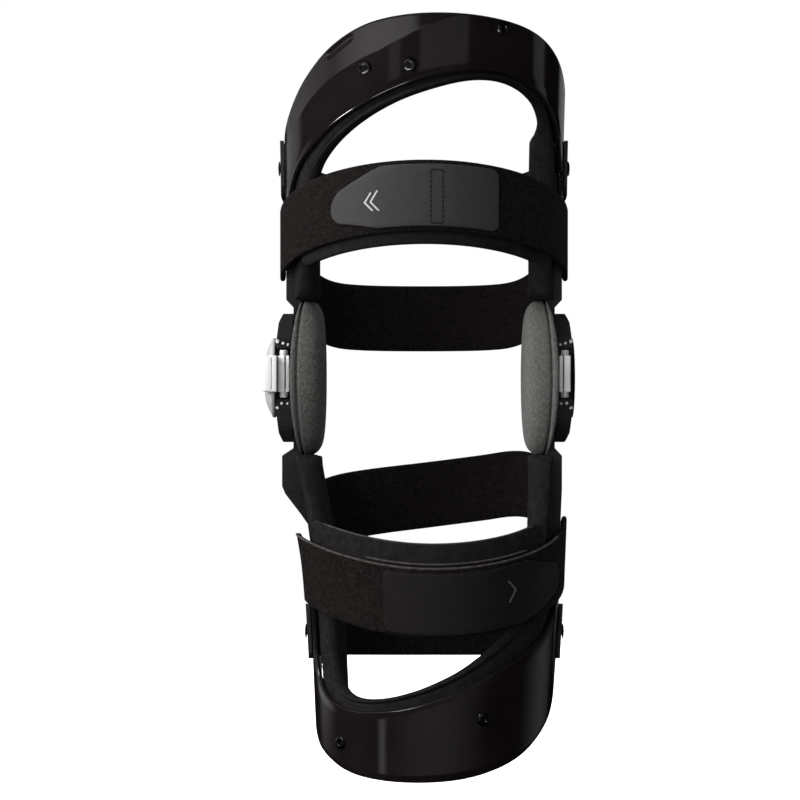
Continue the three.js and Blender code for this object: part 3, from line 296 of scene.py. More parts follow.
# Lights: brightness and share of it, angles round and above, distance and size (deg, m), shares to fade over
# Those that fade shine in gloss, and the others shade
LIGHTS = {
    "ceiling": ("ceiling", 1, 0, 90, 3.0, (12, 12)),
    "key": ("key", 1, -72, 34, 1.1, (0.7, 0.7)),
    "side_key": ("side_key", 1, -58, 10, 1.6, (0.9, 0.9)),
    "pad_key": ("pad_key", 1, -60, 9, 1.6, (0.7, 0.7)),
    "rear_fill_left": ("rear_fill", 1, -145, 25, 2.0, (1.2, 1.2)),
    "rear_fill_right": ("rear_fill", 0.8, 135, 25, 2.0, (1.2, 1.2)),
    "front_fill": ("front_fill", 1, -18, 8, 2.0, (0.8, 0.8)),
    "top_panel": ("ceiling", 1, 0, 90, 3.0, (5, 5), SOFT),
    "rim_panel": ("rim_panel", 1, -51, 34, 1.73, (4.4, 0.62), LONG),
    "rim_panel_left": ("rim_panel", 0.26, -124, 22, 1.6, (1.6, 0.6), SOFT),
    "face_panel": ("face_panel", 1, 16, 8, 2.2, (1.78, 0.9), (0.2, 0.2)),
    "face_panel_left": ("face_panel", 1, -25, 8, 2.2, (0.5, 0.9), SOFT),
    "side_panel_left": ("side_panel", 1, -140, 3, 2.2, (1.8, 0.9), SOFT),
    "side_panel_right": ("side_panel", 1, 155, 5, 2.2, (1.2, 1.4), SOFT),
    "face_panel_right": ("face_panel", 1, 107, 8, 2.2, (0.7, 0.9), SOFT),
    "low_panel_right": ("low_panel", 0.25, 112, -18, 2.1, (2.4, 0.9), LONG),
    "low_panel_left": ("low_panel", 1, -118, -7, 1.6, (1.3, 0.7), (0.8, 0.8)),
    "low_panel_front": ("low_panel", 0.22, 0, -20, 2.1, (4.5, 0.9), LONG),
    "streak": ("streak", 1, -45, -21, 1.6, (0.3, 0.5), (1.0, 0.6)),
    "thigh_glint_left": ("glint", 1.6, -56, -33.7, 1.47, (0.36, 0.4), SOFT),
    "thigh_glint_right": ("glint", 0.9, -16, -30.7, 1.6, (0.9, 0.12), SOFT),
    "calf_glint": ("glint", 1.4, -48, 42, 2.2, (0.5, 0.2), SOFT),
}
# Lights that reach one part alone
LIT_ALONE = {
    "pad_key": "knee_pad_right",
    "thigh_glint_left": "thigh",
    "thigh_glint_right": "thigh",
    "calf_glint": "calf",
}
# How far the floor reaches each way from the middle (m)
FLOOR_REACH = 1.6


def length(name, millimetres, description):
    """A length that the panel shows."""
    return FloatProperty(name=name, description=description, default=millimetres * MM, min=0.0, precision=4,
                         subtype="DISTANCE", unit="LENGTH")


def offset(name, millimetres, description):
    """A place along an axis, on either side of the middle."""
    return FloatProperty(name=name, description=description, default=millimetres * MM, unit="LENGTH")


def tint(name, rgb, description):
    """A colour that the panel shows."""
    return FloatVectorProperty(name=name, description=description, default=rgb, size=3, min=0.0, max=1.0,
                               subtype="COLOR")


def glow(name, brightness, description):
    """A light's brightness."""
    return FloatProperty(name=name, description=description, default=brightness, min=0.0)


class BraceSizes(PropertyGroup):
    """Walls, widths and small details of the brace"""

    shell_wall: length("Shell wall", 3.0, "Thickness of the glossy shells")
    shell_lip: length("Shell lip", 5.6, "Width of the sloped lip round a shell's opening")
    lip_drop: length("Lip drop", 0.35, "How far the lip falls to its edge")
    liner_wall: length("Liner wall", 5.0, "Thickness of the soft liners")
    piping: length("Piping", 0.9, "Height of the piped edge round a liner's opening")
    strap_wall: length("Strap wall", 2.4, "Thickness of the straps")
    pad_wall: length("Strap pad wall", 2.7, "Thickness of the pads behind the front straps")
    tab_wall: length("Tab wall", 1.3, "Thickness of the closing tabs")
    front_width: length("Front strap width", 35.5, "Width of the straps over the front")
    knee_width: length("Knee strap width", 36.0, "Width of the rear straps nearest the hinges")
    end_width: length("End strap width", 25.0, "Width of the rear straps at the ends")
    mark_stroke: length("Mark stroke", 1.2, "Width of a direction mark's stroke")
    thread: length("Thread", 0.42, "Thickness of the sewing thread")
    stitch: length("Stitch", 2.3, "Length of one stitch with its gap")
    screw_head: length("Screw head", 3.4, "Radius of the screw heads")
    rivet_head: length("Rivet head", 4.0, "Radius of the rivet heads")


class BraceColours(PropertyGroup):
    """Colours of the brace's finishes and of the floor"""

    frame_black: tint("Frame", (0.0046, 0.0034, 0.0036), "Glossy black of the shells")
    liner_black: tint("Liner", (0.0062, 0.0058, 0.0056), "Cloth face of the liners and strap pads")
    velour_black: tint("Velour", (0.0048, 0.0039, 0.0037), "Looped pile of the straps")
    tab_grey: tint("Thigh tab", (0.0232, 0.0228, 0.022), "Smooth closing tab over the thigh")
    tab_black: tint("Calf tab", (0.0066, 0.0056, 0.0056), "Smooth closing tab over the calf")
    hinge_black: tint("Hinge", (0.004, 0.0038, 0.004), "Painted metal of arms and hinge plates")
    steel: tint("Steel", (0.12, 0.12, 0.125), "Screws, rivets and pins")
    silver: tint("Silver", (0.82, 0.82, 0.81), "Hinge stops and the left cap")
    pad_grey: tint("Knee pad", (0.0445, 0.0437, 0.0418), "Brushed cloth of the knee pads")
    mark: tint("Mark", (0.27, 0.27, 0.265), "Printed direction marks on the thigh tab")
    mark_faint: tint("Faint mark", (0.05, 0.05, 0.05), "Printed direction mark on the calf tab")
    # The bound edges are real; their colour, lighter than the velour, is partly a painted sheen along their
    # fuzzy edges
    binding: tint("Binding", (0.03, 0.027, 0.026), "Fuzzy bound edges of the calf's front strap and its pad")
    thread: tint("Thread", (0.006, 0.006, 0.006), "Sewing thread")
    floor: tint("Floor", (0.93, 0.93, 0.93), "Plain floor under the brace")


class BraceStage(PropertyGroup):
    """Camera, lights and floor"""

    lens: FloatProperty(name="Lens", description="Focal length of the camera", default=110.4, unit="CAMERA")
    distance: length("Distance", 1300.0, "Camera's distance in front of the hinges")
    aim_x: offset("Aim across", -12.7, "Camera's place across")
    aim_z: offset("Aim height", -11.7, "Camera's height")
    floor_drop: length("Floor drop", 70.0, "Height of the brace above the floor")
    daylight: glow("Daylight", 0.4, "Even white light from all round")
    backdrop: glow("Backdrop", 1.0, "White behind the brace, as the camera sees it")
    ceiling: glow("Ceiling", 0.6, "Wide soft panel overhead")
    key: glow("Key", 12.0, "Soft light at the front left, which shades the brace")
    side_key: glow("Side key", 11.0, "Low soft light at the front left, which reaches the right knee pad")
    front_fill: glow("Front fill", 6.0, "Soft light in front, which reaches into the hinges")
    pad_key: glow("Pad key", 25.0, "Soft light at the left, which reaches the right knee pad alone")
    rear_fill: glow("Rear fill", 9.0, "Each of the two soft lights behind")
    rim_panel: glow("Rim panel", 0.74, "Long panel high at the left, which shines in the sloped rims")
    face_panel: glow("Face panel", 0.16, "Panel in front, which shines in the thigh shell")
    side_panel: glow("Side panel", 0.2, "Panels behind, which shine along the sides")
    low_panel: glow("Low panel", 0.6, "Low panels round the front, which shine in the calf shell")
    streak: glow("Streak", 0.5, "Narrow panel at the left, which shines in the calf shell")
    glint: glow("Glint", 22.0, "Small bright panels in front, which shine on the shells and screws alone")


def in_mm(group):
    """The lengths of a property group, in millimetres."""
    names = group.bl_rna.properties.keys()
    return SimpleNamespace(**{n: getattr(group, n) / MM for n in names if n not in ("rna_type", "name")})


# Shapes on the form
def column_at(column, z):
    """One column of the form's table at heights z, smoothly between its rows."""
    heights = FORM[:, HEIGHT]
    values = FORM[:, column]
    last = len(heights) - 1
    before = np.maximum(np.arange(last + 1) - 1, 0)
    after = np.minimum(np.arange(last + 1) + 1, last)
    slopes = (values[after] - values[before]) / (heights[after] - heights[before])
    i = np.clip(np.searchsorted(heights, z, side="right") - 1, 0, last - 1)
    span = heights[i + 1] - heights[i]
    t = np.clip((z - heights[i]) / span, 0, 1)
    rise = values[i + 1] - values[i]
    bend = t * (1 - t) * ((1 - t) * (slopes[i] * span - rise) - t * (slopes[i + 1] * span - rise))
    return values[i] + rise * t + np.where(np.abs(rise) < 1e-9, 0, bend)


def form_point(deg, z, out):
    """Points on the form at an angle from the front and a height, so far out from the shells' skin."""
    deg, z, out = np.broadcast_arrays(deg, z, out)
    angle = np.radians(deg)
    depth = np.where(np.cos(angle) > 0, column_at(FRONT, z), column_at(BACK, z))
    x = column_at(SHIFT, z) + (column_at(HALF_WIDTH, z) + out) * np.sin(angle)
    return np.stack([x, -(depth + out) * np.cos(angle), z.astype(float)], -1)


def spline(points, shares):
    """A smooth line through points, at shares of the way along it."""
    last = len(points) - 1
    place = np.clip(shares, 0, 1) * last
    i = np.minimum(place.astype(int), last - 1)
    t = (place - i)[:, None]
    a, b = points[np.maximum(i - 1, 0)], points[i]
    c, d = points[i + 1], points[np.minimum(i + 2, last)]
    start, stop = (c - a) / 2, (d - b) / 2
    return (2 * b - 2 * c + start + stop) * t**3 + (3 * c - 3 * b - 2 * start - stop) * t**2 + start * t + b


def smooth(value, low, high):
    """A soft step from 0 at low to 1 at high."""
    t = np.clip((value - low) / (high - low), 0, 1)
    return t * t * (3 - 2 * t)


def rounded(distance, radius):
    """Share of the full thickness at a distance from an edge that is rounded over a radius."""
    return np.sqrt(np.clip(1 - (1 - np.clip(distance / radius, 0, 1)) ** 2, 0, 1))


def edge_steps(radius, count=5):
    """Distances from an edge that follow its rounding."""
    return radius * (1 - np.cos(np.linspace(0, math.pi / 2, count)))


def run_length(points):
    """Distance along a line of points at each of them."""
    steps = np.linalg.norm(np.diff(points, axis=0), axis=1)
    return np.concatenate([[0], np.cumsum(steps)])


def spread(width, low, high, inner):
    """Distances across rows of given widths: fixed ones from each edge, and even ones between."""
    width = np.atleast_1d(width)[:, None]
    middle = np.linspace(0, 1, inner + 2)[1:-1]
    first = np.broadcast_to(low, (len(width), len(low)))
    last = width - np.asarray(high)[::-1]
    even = low[-1] + (width - low[-1] - high[-1]) * middle
    return np.concatenate([first, even, last], 1)


def new_object(name, mesh, material):
    piece = bpy.data.objects.new(name, mesh)
    bpy.context.scene.collection.objects.link(piece)
    mesh.materials.append(material)
    return piece


def faced_out(points, faces):
    """The faces, turned so that a closed mesh has a positive volume."""
    a, b, c = (points[faces[:, k]] for k in range(3))
    volume = np.einsum("ij,ij->", a, np.cross(b, c))
    if faces.shape[1] == 4:
        d = points[faces[:, 3]]
        volume += np.einsum("ij,ij->", a, np.cross(c, d))
    return faces if volume > 0 else faces[:, ::-1]


def closed_mesh(name, points, faces, material, plan=None):
    """A smooth mesh piece of points in millimetres, with a flat plan of its cloth as its UV map."""
    faces = faced_out(points, faces)
    mesh = bpy.data.meshes.new(name)
    mesh.from_pydata((points * MM).tolist(), [], faces.tolist())
    mesh.polygons.foreach_set("use_smooth", np.ones(len(mesh.polygons), bool))
    if plan is not None:
        layer = mesh.uv_layers.new(name="cloth")
        corners = np.empty(len(mesh.loops), int)
        mesh.loops.foreach_get("vertex_index", corners)
        layer.data.foreach_set("uv", (plan[corners] * MM).astype(np.float32).ravel())
    mesh.update()
    return new_object(name, mesh, material)


def quads(grid):
    """Faces between neighbours in a grid of point numbers."""
    return np.stack([grid[:-1, :-1], grid[1:, :-1], grid[1:, 1:], grid[:-1, 1:]], -1).reshape(-1, 4)


def quilt(name, top, bottom, material):
    """A closed piece between two grids of points that share their border."""
    rows, columns = top.shape[:2]
    upper = np.arange(rows * columns).reshape(rows, columns)
    lower = upper.copy()
    inside = (slice(1, -1), slice(1, -1))
    lower[inside] = rows * columns + np.arange((rows - 2) * (columns - 2)).reshape(rows - 2, columns - 2)
    points = np.concatenate([top.reshape(-1, 3), bottom[inside].reshape(-1, 3)])
    along = run_length(top[:, columns // 2])[:, None]
    across = np.cumsum(np.linalg.norm(np.diff(top, axis=1, prepend=top[:, :1]), axis=2), axis=1)
    plan = np.stack([np.broadcast_to(along, across.shape), across], -1)
    plan = np.concatenate([plan.reshape(-1, 2), plan[inside].reshape(-1, 2)])
    faces = np.concatenate([quads(upper), quads(lower)[:, ::-1]])
    return closed_mesh(name, points, faces, material, plan)


def ring_faces(count, around, first=0):
    """Faces of a wall of rings of points, numbered from a first point."""
    grid = first + np.arange(count * around).reshape(count, around)
    return quads(np.concatenate([grid, grid[:, :1]], 1))


def capped(rings, first, last):
    """Points and faces of a closed piece of rings of points, with a middle point at each end."""
    count, around = rings.shape[:2]
    points = np.concatenate([rings.reshape(-1, 3), [first, last]])
    grid = np.arange(count * around).reshape(count, around)
    wall = ring_faces(count, around)
    turn = np.roll(grid, -1, axis=1)
    start = np.stack([grid[0], turn[0], np.full(around, grid.size)], -1)
    stop = np.stack([turn[-1], grid[-1], np.full(around, grid.size + 1)], -1)
    return points, np.concatenate([wall[:, [0, 1, 2]], wall[:, [0, 2, 3]], start, stop])


def turned(profile, place, around=40):
    """Points and faces of a turned shape: radius and height pairs from axis to axis, set by a matrix."""
    profile = np.array(profile, float)
    angle = np.linspace(0, 2 * math.pi, around, endpoint=False)
    radius, height = profile[1:-1].T[..., None]
    rings = np.stack(np.broadcast_arrays(radius * np.cos(angle), radius * np.sin(angle), height), -1)
    points, faces = capped(rings, (0, 0, profile[0, 1]), (0, 0, profile[-1, 1]))
    return points @ np.array(place.to_3x3()).T + np.array(place.translation), faces


def settle(piece, body, slot, *nodes):
    """The piece moves with a body and stands for its solids, which it hides; its slot is not used."""
    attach(piece, body)
    if nodes:
        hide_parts(*nodes)


# Finishes
def add_node(tree, kind, inputs=None, **settings):
    """A node with its settings, its inputs set to values or joined to other nodes' outputs."""
    made = tree.nodes.new(kind)
    for key, value in settings.items():
        setattr(made, key, value)
    for key, value in (inputs or {}).items():
        if isinstance(value, bpy.types.NodeSocket):
            tree.links.new(value, made.inputs[key])
        else:
            made.inputs[key].default_value = value
    return made


def texture(tree, coords, kind, scale, stretch=(1, 1, 1)):
    """The height of a noise, cell or weave pattern with a number of repeats to the metre."""
    spot = add_node(tree, "ShaderNodeMapping", {"Vector": coords, "Scale": stretch}).outputs["Vector"]
    if kind == "cells":
        cells = add_node(tree, "ShaderNodeTexVoronoi", {"Vector": spot, "Scale": scale})
        return cells.outputs["Distance"]
    if kind == "weave":
        warp = add_node(tree, "ShaderNodeTexWave", {"Vector": spot, "Scale": scale}, bands_direction="X")
        weft = add_node(tree, "ShaderNodeTexWave", {"Vector": spot, "Scale": scale}, bands_direction="Y")
        both = {0: warp.outputs["Fac"], 1: weft.outputs["Fac"]}
        return add_node(tree, "ShaderNodeMath", both, operation="MULTIPLY").outputs["Value"]
    grain = {"Vector": spot, "Scale": scale, "Detail": 4.0, "Roughness": 0.6}
    return add_node(tree, "ShaderNodeTexNoise", grain).outputs["Fac"]


def ranged(tree, value, low, high, start=0.25, stop=0.75):
    """A value from low to high, as another goes from start to stop."""
    limits = {"Value": value, "From Min": start, "From Max": stop, "To Min": low, "To Max": high}
    return add_node(tree, "ShaderNodeMapRange", limits).outputs["Result"]


def mixed(tree, share, first, second):
    """A colour between two others."""
    sockets = {MIX_SHARE: share, MIX_FIRST: first, MIX_SECOND: second}
    return add_node(tree, "ShaderNodeMix", sockets, data_type="RGBA").outputs[MIX_RESULT]


def finish(name, colour, tones, mottle, rough, reliefs, edge_wear=0.0, coords="Object", **shader):
    """A finish: a colour between two tones by a mottle, a range of roughness and layers of relief.

    mottle and each relief are (kind, repeats to the metre), with a stretch where they aren't even, and a
    relief ends with its depth in mm."""
    if name in bpy.data.materials:
        return bpy.data.materials[name]
    material = bpy.data.materials.new(name)
    material.use_nodes = True
    material.diffuse_color = (*colour, 1)
    tree = material.node_tree
    surface = tree.nodes["Principled BSDF"]
    spot = add_node(tree, "ShaderNodeTexCoord").outputs[coords]
    shade = texture(tree, spot, *mottle)
    dark, light = ([share * c for c in colour] + [1] for share in tones)
    tone = mixed(tree, ranged(tree, shade, 0, 1), dark, light)
    if edge_wear:
        edge = add_node(tree, "ShaderNodeNewGeometry").outputs["Pointiness"]
        tone = mixed(tree, ranged(tree, edge, 0, edge_wear, *WORN_EDGE), tone, WORN)
    tree.links.new(tone, surface.inputs["Base Color"])
    tree.links.new(ranged(tree, shade, *rough), surface.inputs["Roughness"])
    normal = None
    for *pattern, depth in reliefs:
        inputs = {"Height": texture(tree, spot, *pattern), "Distance": depth * MM, "Strength": 1.0}
        if normal is not None:
            inputs["Normal"] = normal
        normal = add_node(tree, "ShaderNodeBump", inputs).outputs["Normal"]
    if normal is not None:
        tree.links.new(normal, surface.inputs["Normal"])
    for key, value in shader.items():
        surface.inputs[key.replace("_", " ")].default_value = value
    return material


def gloss_black(colours):
    return finish("gloss_black", colours.frame_black, (0.8, 1.3), ("noise", 40), (0.07, 0.14),
                  [("noise", 45, 0.012), ("noise", 700, 0.002)], edge_wear=0.02,
                  Coat_Weight=0.6, Coat_Roughness=0.04)


def liner_cloth(colours):
    return finish("liner_cloth", colours.liner_black, (0.6, 1.6), ("noise", 260), (0.72, 0.95),
                  [("cells", 900, 0.16), ("noise", 120, 0.25)],
                  Specular_IOR_Level=0.15)


def loop_velour(colours):
    return finish("loop_velour", colours.velour_black, (0.35, 2.1), ("noise", 520), (0.85, 1.0),
                  [("noise", 700, 0.9), ("cells", 1300, 0.3), ("noise", 90, 0.5)],
                  Specular_IOR_Level=0.1)


def tab_cloth(name, colour, rough):
    return finish(name, colour, (0.9, 1.12), ("noise", 220), rough,
                  [("weave", 700, 0.03), ("noise", 60, 0.2)], coords="UV",
                  Specular_IOR_Level=0.4)


def painted_black(colours):
    return finish("painted_black", colours.hinge_black, (0.8, 1.4), ("noise", 120), (0.2, 0.34),
                  [("noise", 1100, 0.02)], edge_wear=0.12)


def dark_steel(colours):
    return finish("dark_steel", colours.steel, (0.7, 1.25), ("noise", 900, UPRIGHT), (0.22, 0.4),
                  [("noise", 1600, UPRIGHT, 0.02)], edge_wear=0.3, Metallic=1.0)


def bright_steel(colours):
    return finish("bright_steel", colours.silver, (0.9, 1.1), ("noise", 900, UPRIGHT), (0.2, 0.3),
                  [("noise", 1600, UPRIGHT, 0.02)], Metallic=0.6)


# Painted shade: the cap's disc takes the stops' silver darkened, to offset the stronger light that falls on
# it
def cap_silver_painted_shade(colours):
    shaded = [DISC_PAINTED_SHADE * c for c in colours.silver]
    return finish("cap_silver_painted_shade", shaded, (0.9, 1.1), ("noise", 160, UPRIGHT), (0.3, 0.42),
                  [("noise", 900, UPRIGHT, 0.02)], Metallic=0.3)


# Painted shade: the cap's lip takes the stops' silver darkened, to offset the stronger light that falls on it
def lip_silver_painted_shade(colours):
    shaded = [LIP_PAINTED_SHADE * c for c in colours.silver]
    return finish("lip_silver_painted_shade", shaded, (0.93, 1.05), ("noise", 160, UPRIGHT), (0.3, 0.42),
                  [("noise", 900, 0.015)], Metallic=0.15)


def silver_white(colours):
    return finish("silver_white", colours.silver, (0.93, 1.05), ("noise", 160, UPRIGHT), (0.25, 0.38),
                  [("noise", 900, 0.015)], Metallic=0.15)


def brushed_cloth(colours):
    return finish("brushed_cloth", colours.pad_grey, (0.55, 1.5), ("noise", 700), (0.85, 1.0),
                  [("noise", 900, 0.45), ("noise", 70, 0.15)],
                  Specular_IOR_Level=0.1)


def printed_mark(name, colour):
    return finish(name, colour, (0.85, 1.1), ("noise", 900), (0.5, 0.7), [("noise", 1500, 0.02)])


# Bound edges with a painted sheen: real fuzzy bindings, coloured lighter than the velour to paint the light
# line along them
def edge_binding_and_sheen(colours):
    return finish("edge_binding_and_sheen", colours.binding, (0.4, 1.7), ("noise", 420), (0.8, 1.0),
                  [("noise", 1500, 0.5)], Specular_IOR_Level=0.1)


def sewing_thread(colours):
    return finish("sewing_thread", colours.thread, (0.7, 1.4), ("noise", 2500), (0.5, 0.7),
                  [("noise", 4000, 0.06)])


# Shells and liners
def lit_alone(part):
    """The group of pieces that a part's own light shines on."""
    name = f"{part}_lit_alone"
    return bpy.data.collections.get(name) or bpy.data.collections.new(name)


def lean_share(part, deg):
    """How far the outer rim leans in at an angle, as a share."""
    left_none, left_full, right_full, right_none = LEAN_FADE[part]
    return smooth(deg, left_none, left_full) * (1 - smooth(deg, right_full, right_none))


def corner_inset(corner, from_end):
    """How far a rounded corner draws an edge in, at a distance from the end."""
    short = np.clip(corner - from_end, 0, corner)
    return corner - np.sqrt(corner**2 - short**2)


def arch(rows, make, low, high, end_edge):
    """Angles and heights of a band's grid, with distances from its opening, its outer edge and its ends."""
    shares = np.linspace(0, 1, make.stations)
    outer, opening = spline(rows[:, :2], shares), spline(rows[:, 2:], shares)
    middle = (outer + opening) / 2
    run = run_length(form_point(middle[:, 0], middle[:, 1], 0))
    ends = np.concatenate([edge_steps(end_edge, 6), np.arange(2, make.corner, 1)])
    places = spread(run[-1:], ends, ends, make.stations)[0]
    shares = np.interp(places, run, shares)
    outer, opening = spline(rows[:, :2], shares), spline(rows[:, 2:], shares)
    width = np.linalg.norm(form_point(*outer.T, 0) - form_point(*opening.T, 0), axis=1)
    from_end = np.minimum(places, run[-1] - places)
    inset = corner_inset(make.corner, from_end)
    across = inset[:, None] + spread(width - 2 * inset, low, high, make.across)
    share = (across / width[:, None])[..., None]
    spots = opening[:, None] + (outer - opening)[:, None] * share
    from_opening = across - inset[:, None]
    from_outer = width[:, None] - inset[:, None] - across
    from_end = np.broadcast_to(from_end[:, None], across.shape)
    return spots[..., 0], spots[..., 1], from_opening, from_outer, from_end


def walled(name, deg, z, outside, inside, from_edge, edge, material):
    """A closed piece on the form between two distances out, with rounded edges."""
    middle, half = (outside + inside) / 2, (outside - inside) / 2
    half = half * rounded(from_edge, edge)
    return quilt(name, form_point(deg, z, middle + half), form_point(deg, z, middle - half), material)


def slot_depth(deg, z):
    """Depth of the slot in the thigh's facet at an angle and a height."""
    tilt = math.radians(RIM_SLOT.tilt)
    across = np.radians(deg - RIM_SLOT.deg) * column_at(HALF_WIDTH, z)
    up = z - RIM_SLOT.z
    along = across * math.cos(tilt) + up * math.sin(tilt)
    aside = up * math.cos(tilt) - across * math.sin(tilt)
    reach = np.maximum(np.abs(along) - (RIM_SLOT.length - RIM_SLOT.width) / 2, 0)
    half = RIM_SLOT.width / 2
    wall = smooth(np.hypot(reach, aside), half - RIM_SLOT.wall_inside, half + RIM_SLOT.wall_outside)
    return RIM_SLOT.depth * (1 - wall)


def add_shell(part, sizes, colours):
    """A glossy shell with a facet along its outer rim and a sloped lip round its opening."""
    lip = sizes.shell_lip
    lip_rows = np.arange(SHELL.lip_from, lip + SHELL.lip_past, SHELL.lip_step)
    low = np.append(edge_steps(SHELL.edge), lip_rows)
    high = np.append(edge_steps(SHELL.edge), SHELL.rim_row)
    deg, z, from_opening, from_outer, from_end = arch(SHELLS[part], SHELL, low, high, SHELL.edge)
    width = from_opening + from_outer
    facet = np.interp(deg, *FACETS[part].T)
    tilt = math.tan(math.radians(FACET_TILT[part]))
    fall = tilt * lean_share(part, deg) * np.clip(from_opening - width * (1 - facet), 0, None)
    top = -fall - sizes.lip_drop * (1 - smooth(from_opening, 0, lip))
    if part == "thigh":
        top -= slot_depth(deg, z)
    bottom = -sizes.shell_wall - fall
    from_edge = np.minimum(np.minimum(from_opening, from_outer), from_end)
    shell = walled(f"{part}_shell_gloss", deg, z, top, bottom, from_edge, SHELL.edge, gloss_black(colours))
    settle(shell, part, "frame_gloss", f"{part}_shell")
    lit_alone(part).objects.link(shell)


def ridge(distance, middle, reach):
    """A soft ridge of height one about a middle distance."""
    return np.exp(-(((distance - middle) / reach) ** 2))


def add_liner(part, sizes, colours):
    """A soft liner inside a shell, with piping and a seam round its opening."""
    high = edge_steps(LINER.edge, 7)
    low = np.append(high, LINER.seam_rows)
    deg, z, from_opening, from_outer, from_end = arch(LINERS[part], LINER, low, high, LINER.edge / 2)
    width = from_opening + from_outer
    seat = LINER_SEAT
    lean = seat.lean * lean_share(part, deg) * smooth(from_opening / width, seat.lean_from, 1)
    step_in = (seat.side - seat.front) * (1 - smooth(np.abs(z), *ARM_ENDS[part]))
    aside = smooth(np.abs(deg), *seat.skin_step)
    skin = seat.front + step_in * aside - lean
    back = seat.front + step_in * smooth(np.abs(deg), *seat.back_step) - sizes.liner_wall - lean
    beside_hinge = 1 - smooth(np.abs(z), HINGE_SWELL.full, HINGE_SWELL.none)
    skin += HINGE_SWELL.out * beside_hinge * aside
    pipe = ridge(from_opening, PIPE.at, PIPE.reach)
    seam = ridge(from_opening, SEAM.at, SEAM.reach)
    skin += sizes.piping * pipe - SEAM.skin * seam
    back -= PIPE.back * pipe - SEAM.back * seam
    from_edge = np.minimum(np.minimum(from_opening, from_outer), 2 * from_end)
    liner = walled(f"{part}_liner_cloth", deg, z, skin, back, from_edge, LINER.edge, liner_cloth(colours))
    settle(liner, part, "liner", f"{part}_liner")


# Straps and tabs
def bowed(part, deg):
    """Height of a front strap's middle line at an angle."""
    line = FRONT_STRAPS[part]
    side = np.where(deg < 0, line.left, line.right)
    bow = np.where(deg < 0, line.left_bow, line.right_bow)
    return side + (line.mid - side) * np.clip(np.cos(np.radians(deg)), 0, 1) ** bow


def hung(part, deg):
    """Height of an end strap's middle line at an angle."""
    side, behind = END_STRAPS[part]
    round_to = 180 - np.abs(180 - np.abs(deg))
    share = np.sin(math.pi / 2 * (round_to - BRACKET_FROM) / (180 - BRACKET_FROM))
    return side + (behind - side) * share


def end_steps(edge, corner):
    """Distances from a strap's end that follow its rounded edge, and then its corner."""
    return np.append(edge_steps(edge, 4), np.arange(edge + 0.4, corner, 0.7))


def strap(name, route, above, below, wall, make, material):
    """A strap along a dense route of angle, seat and height, with its reach above and below at each point."""
    path = form_point(route[:, 0], route[:, 2], route[:, 1])
    run = run_length(path)
    start, stop = make.corners
    places = spread(run[-1:], end_steps(make.edge, start), end_steps(make.edge, stop), make.stations)[0]
    deg, seat, z = (np.interp(places, run, column) for column in route.T)
    above, below = np.interp(places, run, above), np.interp(places, run, below)
    plan = np.stack([np.interp(places, run, path[:, k]) for k in (0, 1)], -1)
    along = np.gradient(plan, axis=0)
    square = np.stack([along[:, 1], -along[:, 0], np.zeros(len(along))], -1)
    square /= np.linalg.norm(square, axis=1)[:, None]
    inset = np.maximum(corner_inset(start, places), corner_inset(stop, run[-1] - places))
    width = (above + below - 2 * inset)[:, None]
    rim = edge_steps(1, 5)
    edges = np.minimum(make.edge, EDGE_SHARE * width)
    even = np.linspace(0, 1, 12)[1:-1]
    across = np.concatenate([rim * edges, edges + (width - 2 * edges) * even, width - rim[::-1] * edges], 1)
    lift = across + inset[:, None] - below[:, None]
    from_end = np.minimum(places, run[-1] - places)[:, None]
    from_edge = np.minimum(across, width - across)
    thick = rounded(from_edge, edges) * rounded(from_end, make.edge)
    base = form_point(deg[:, None], z[:, None] + lift, seat[:, None])
    push = square[:, None] * (wall / 2 * thick)[..., None]
    return quilt(name, base + push, base - push, material)


def front_route(part, low, high, seat, count=500):
    """A dense route along a front strap's middle line: angle, seat and height."""
    deg = np.linspace(low, high, count)
    return np.stack([deg, np.full(count, seat), bowed(part, deg)], -1)


def add_velour(part, kind, route, width, make, sizes, colours):
    """A velour strap of one width along a route."""
    half = np.full(len(route), width / 2)
    name = f"{part}_{kind}"
    piece = strap(f"{name}_velour", route, half, half, sizes.strap_wall, make, loop_velour(colours))
    settle(piece, part, "webbing", name)


def add_front_strap(part, sizes, colours):
    route = front_route(part, -FRONT_REACH, FRONT_REACH, FRONT_SEAT)
    add_velour(part, "front_strap", route, sizes.front_width, FRONT_MAKE, sizes, colours)


def add_knee_strap(part, sizes, colours):
    route = spline(KNEE_STRAPS[part].astype(float), np.linspace(0, 1, 600))
    add_velour(part, "knee_strap", route, sizes.knee_width, KNEE_MAKE, sizes, colours)


def add_end_strap(part, sizes, colours):
    """A strap across the back at an end of the brace, with both tails folded through their brackets."""
    mirrored = np.stack([360 - FOLD[-2::-1, 0], FOLD[-2::-1, 1]], -1)
    turns = spline(np.concatenate([FOLD, mirrored]), np.linspace(0, 1, 1600))
    route = np.stack([turns[:, 0], turns[:, 1], hung(part, turns[:, 0])], -1)
    add_velour(part, "end_strap", route, sizes.end_width, END_MAKE, sizes, colours)


def add_strap_pad(part, sizes, colours):
    """A foam pad behind a front strap, which passes one of its edges."""
    low, high, above, below = STRAP_PADS[part]
    route = front_route(part, low, high, PAD_SEAT)
    half = np.full(len(route), sizes.front_width / 2)
    name = f"{part}_front_strap_pad"
    cloth = liner_cloth(colours)
    piece = strap(f"{name}_cloth", route, half + above, half + below, sizes.pad_wall, PAD_MAKE, cloth)
    settle(piece, part, "liner", name)


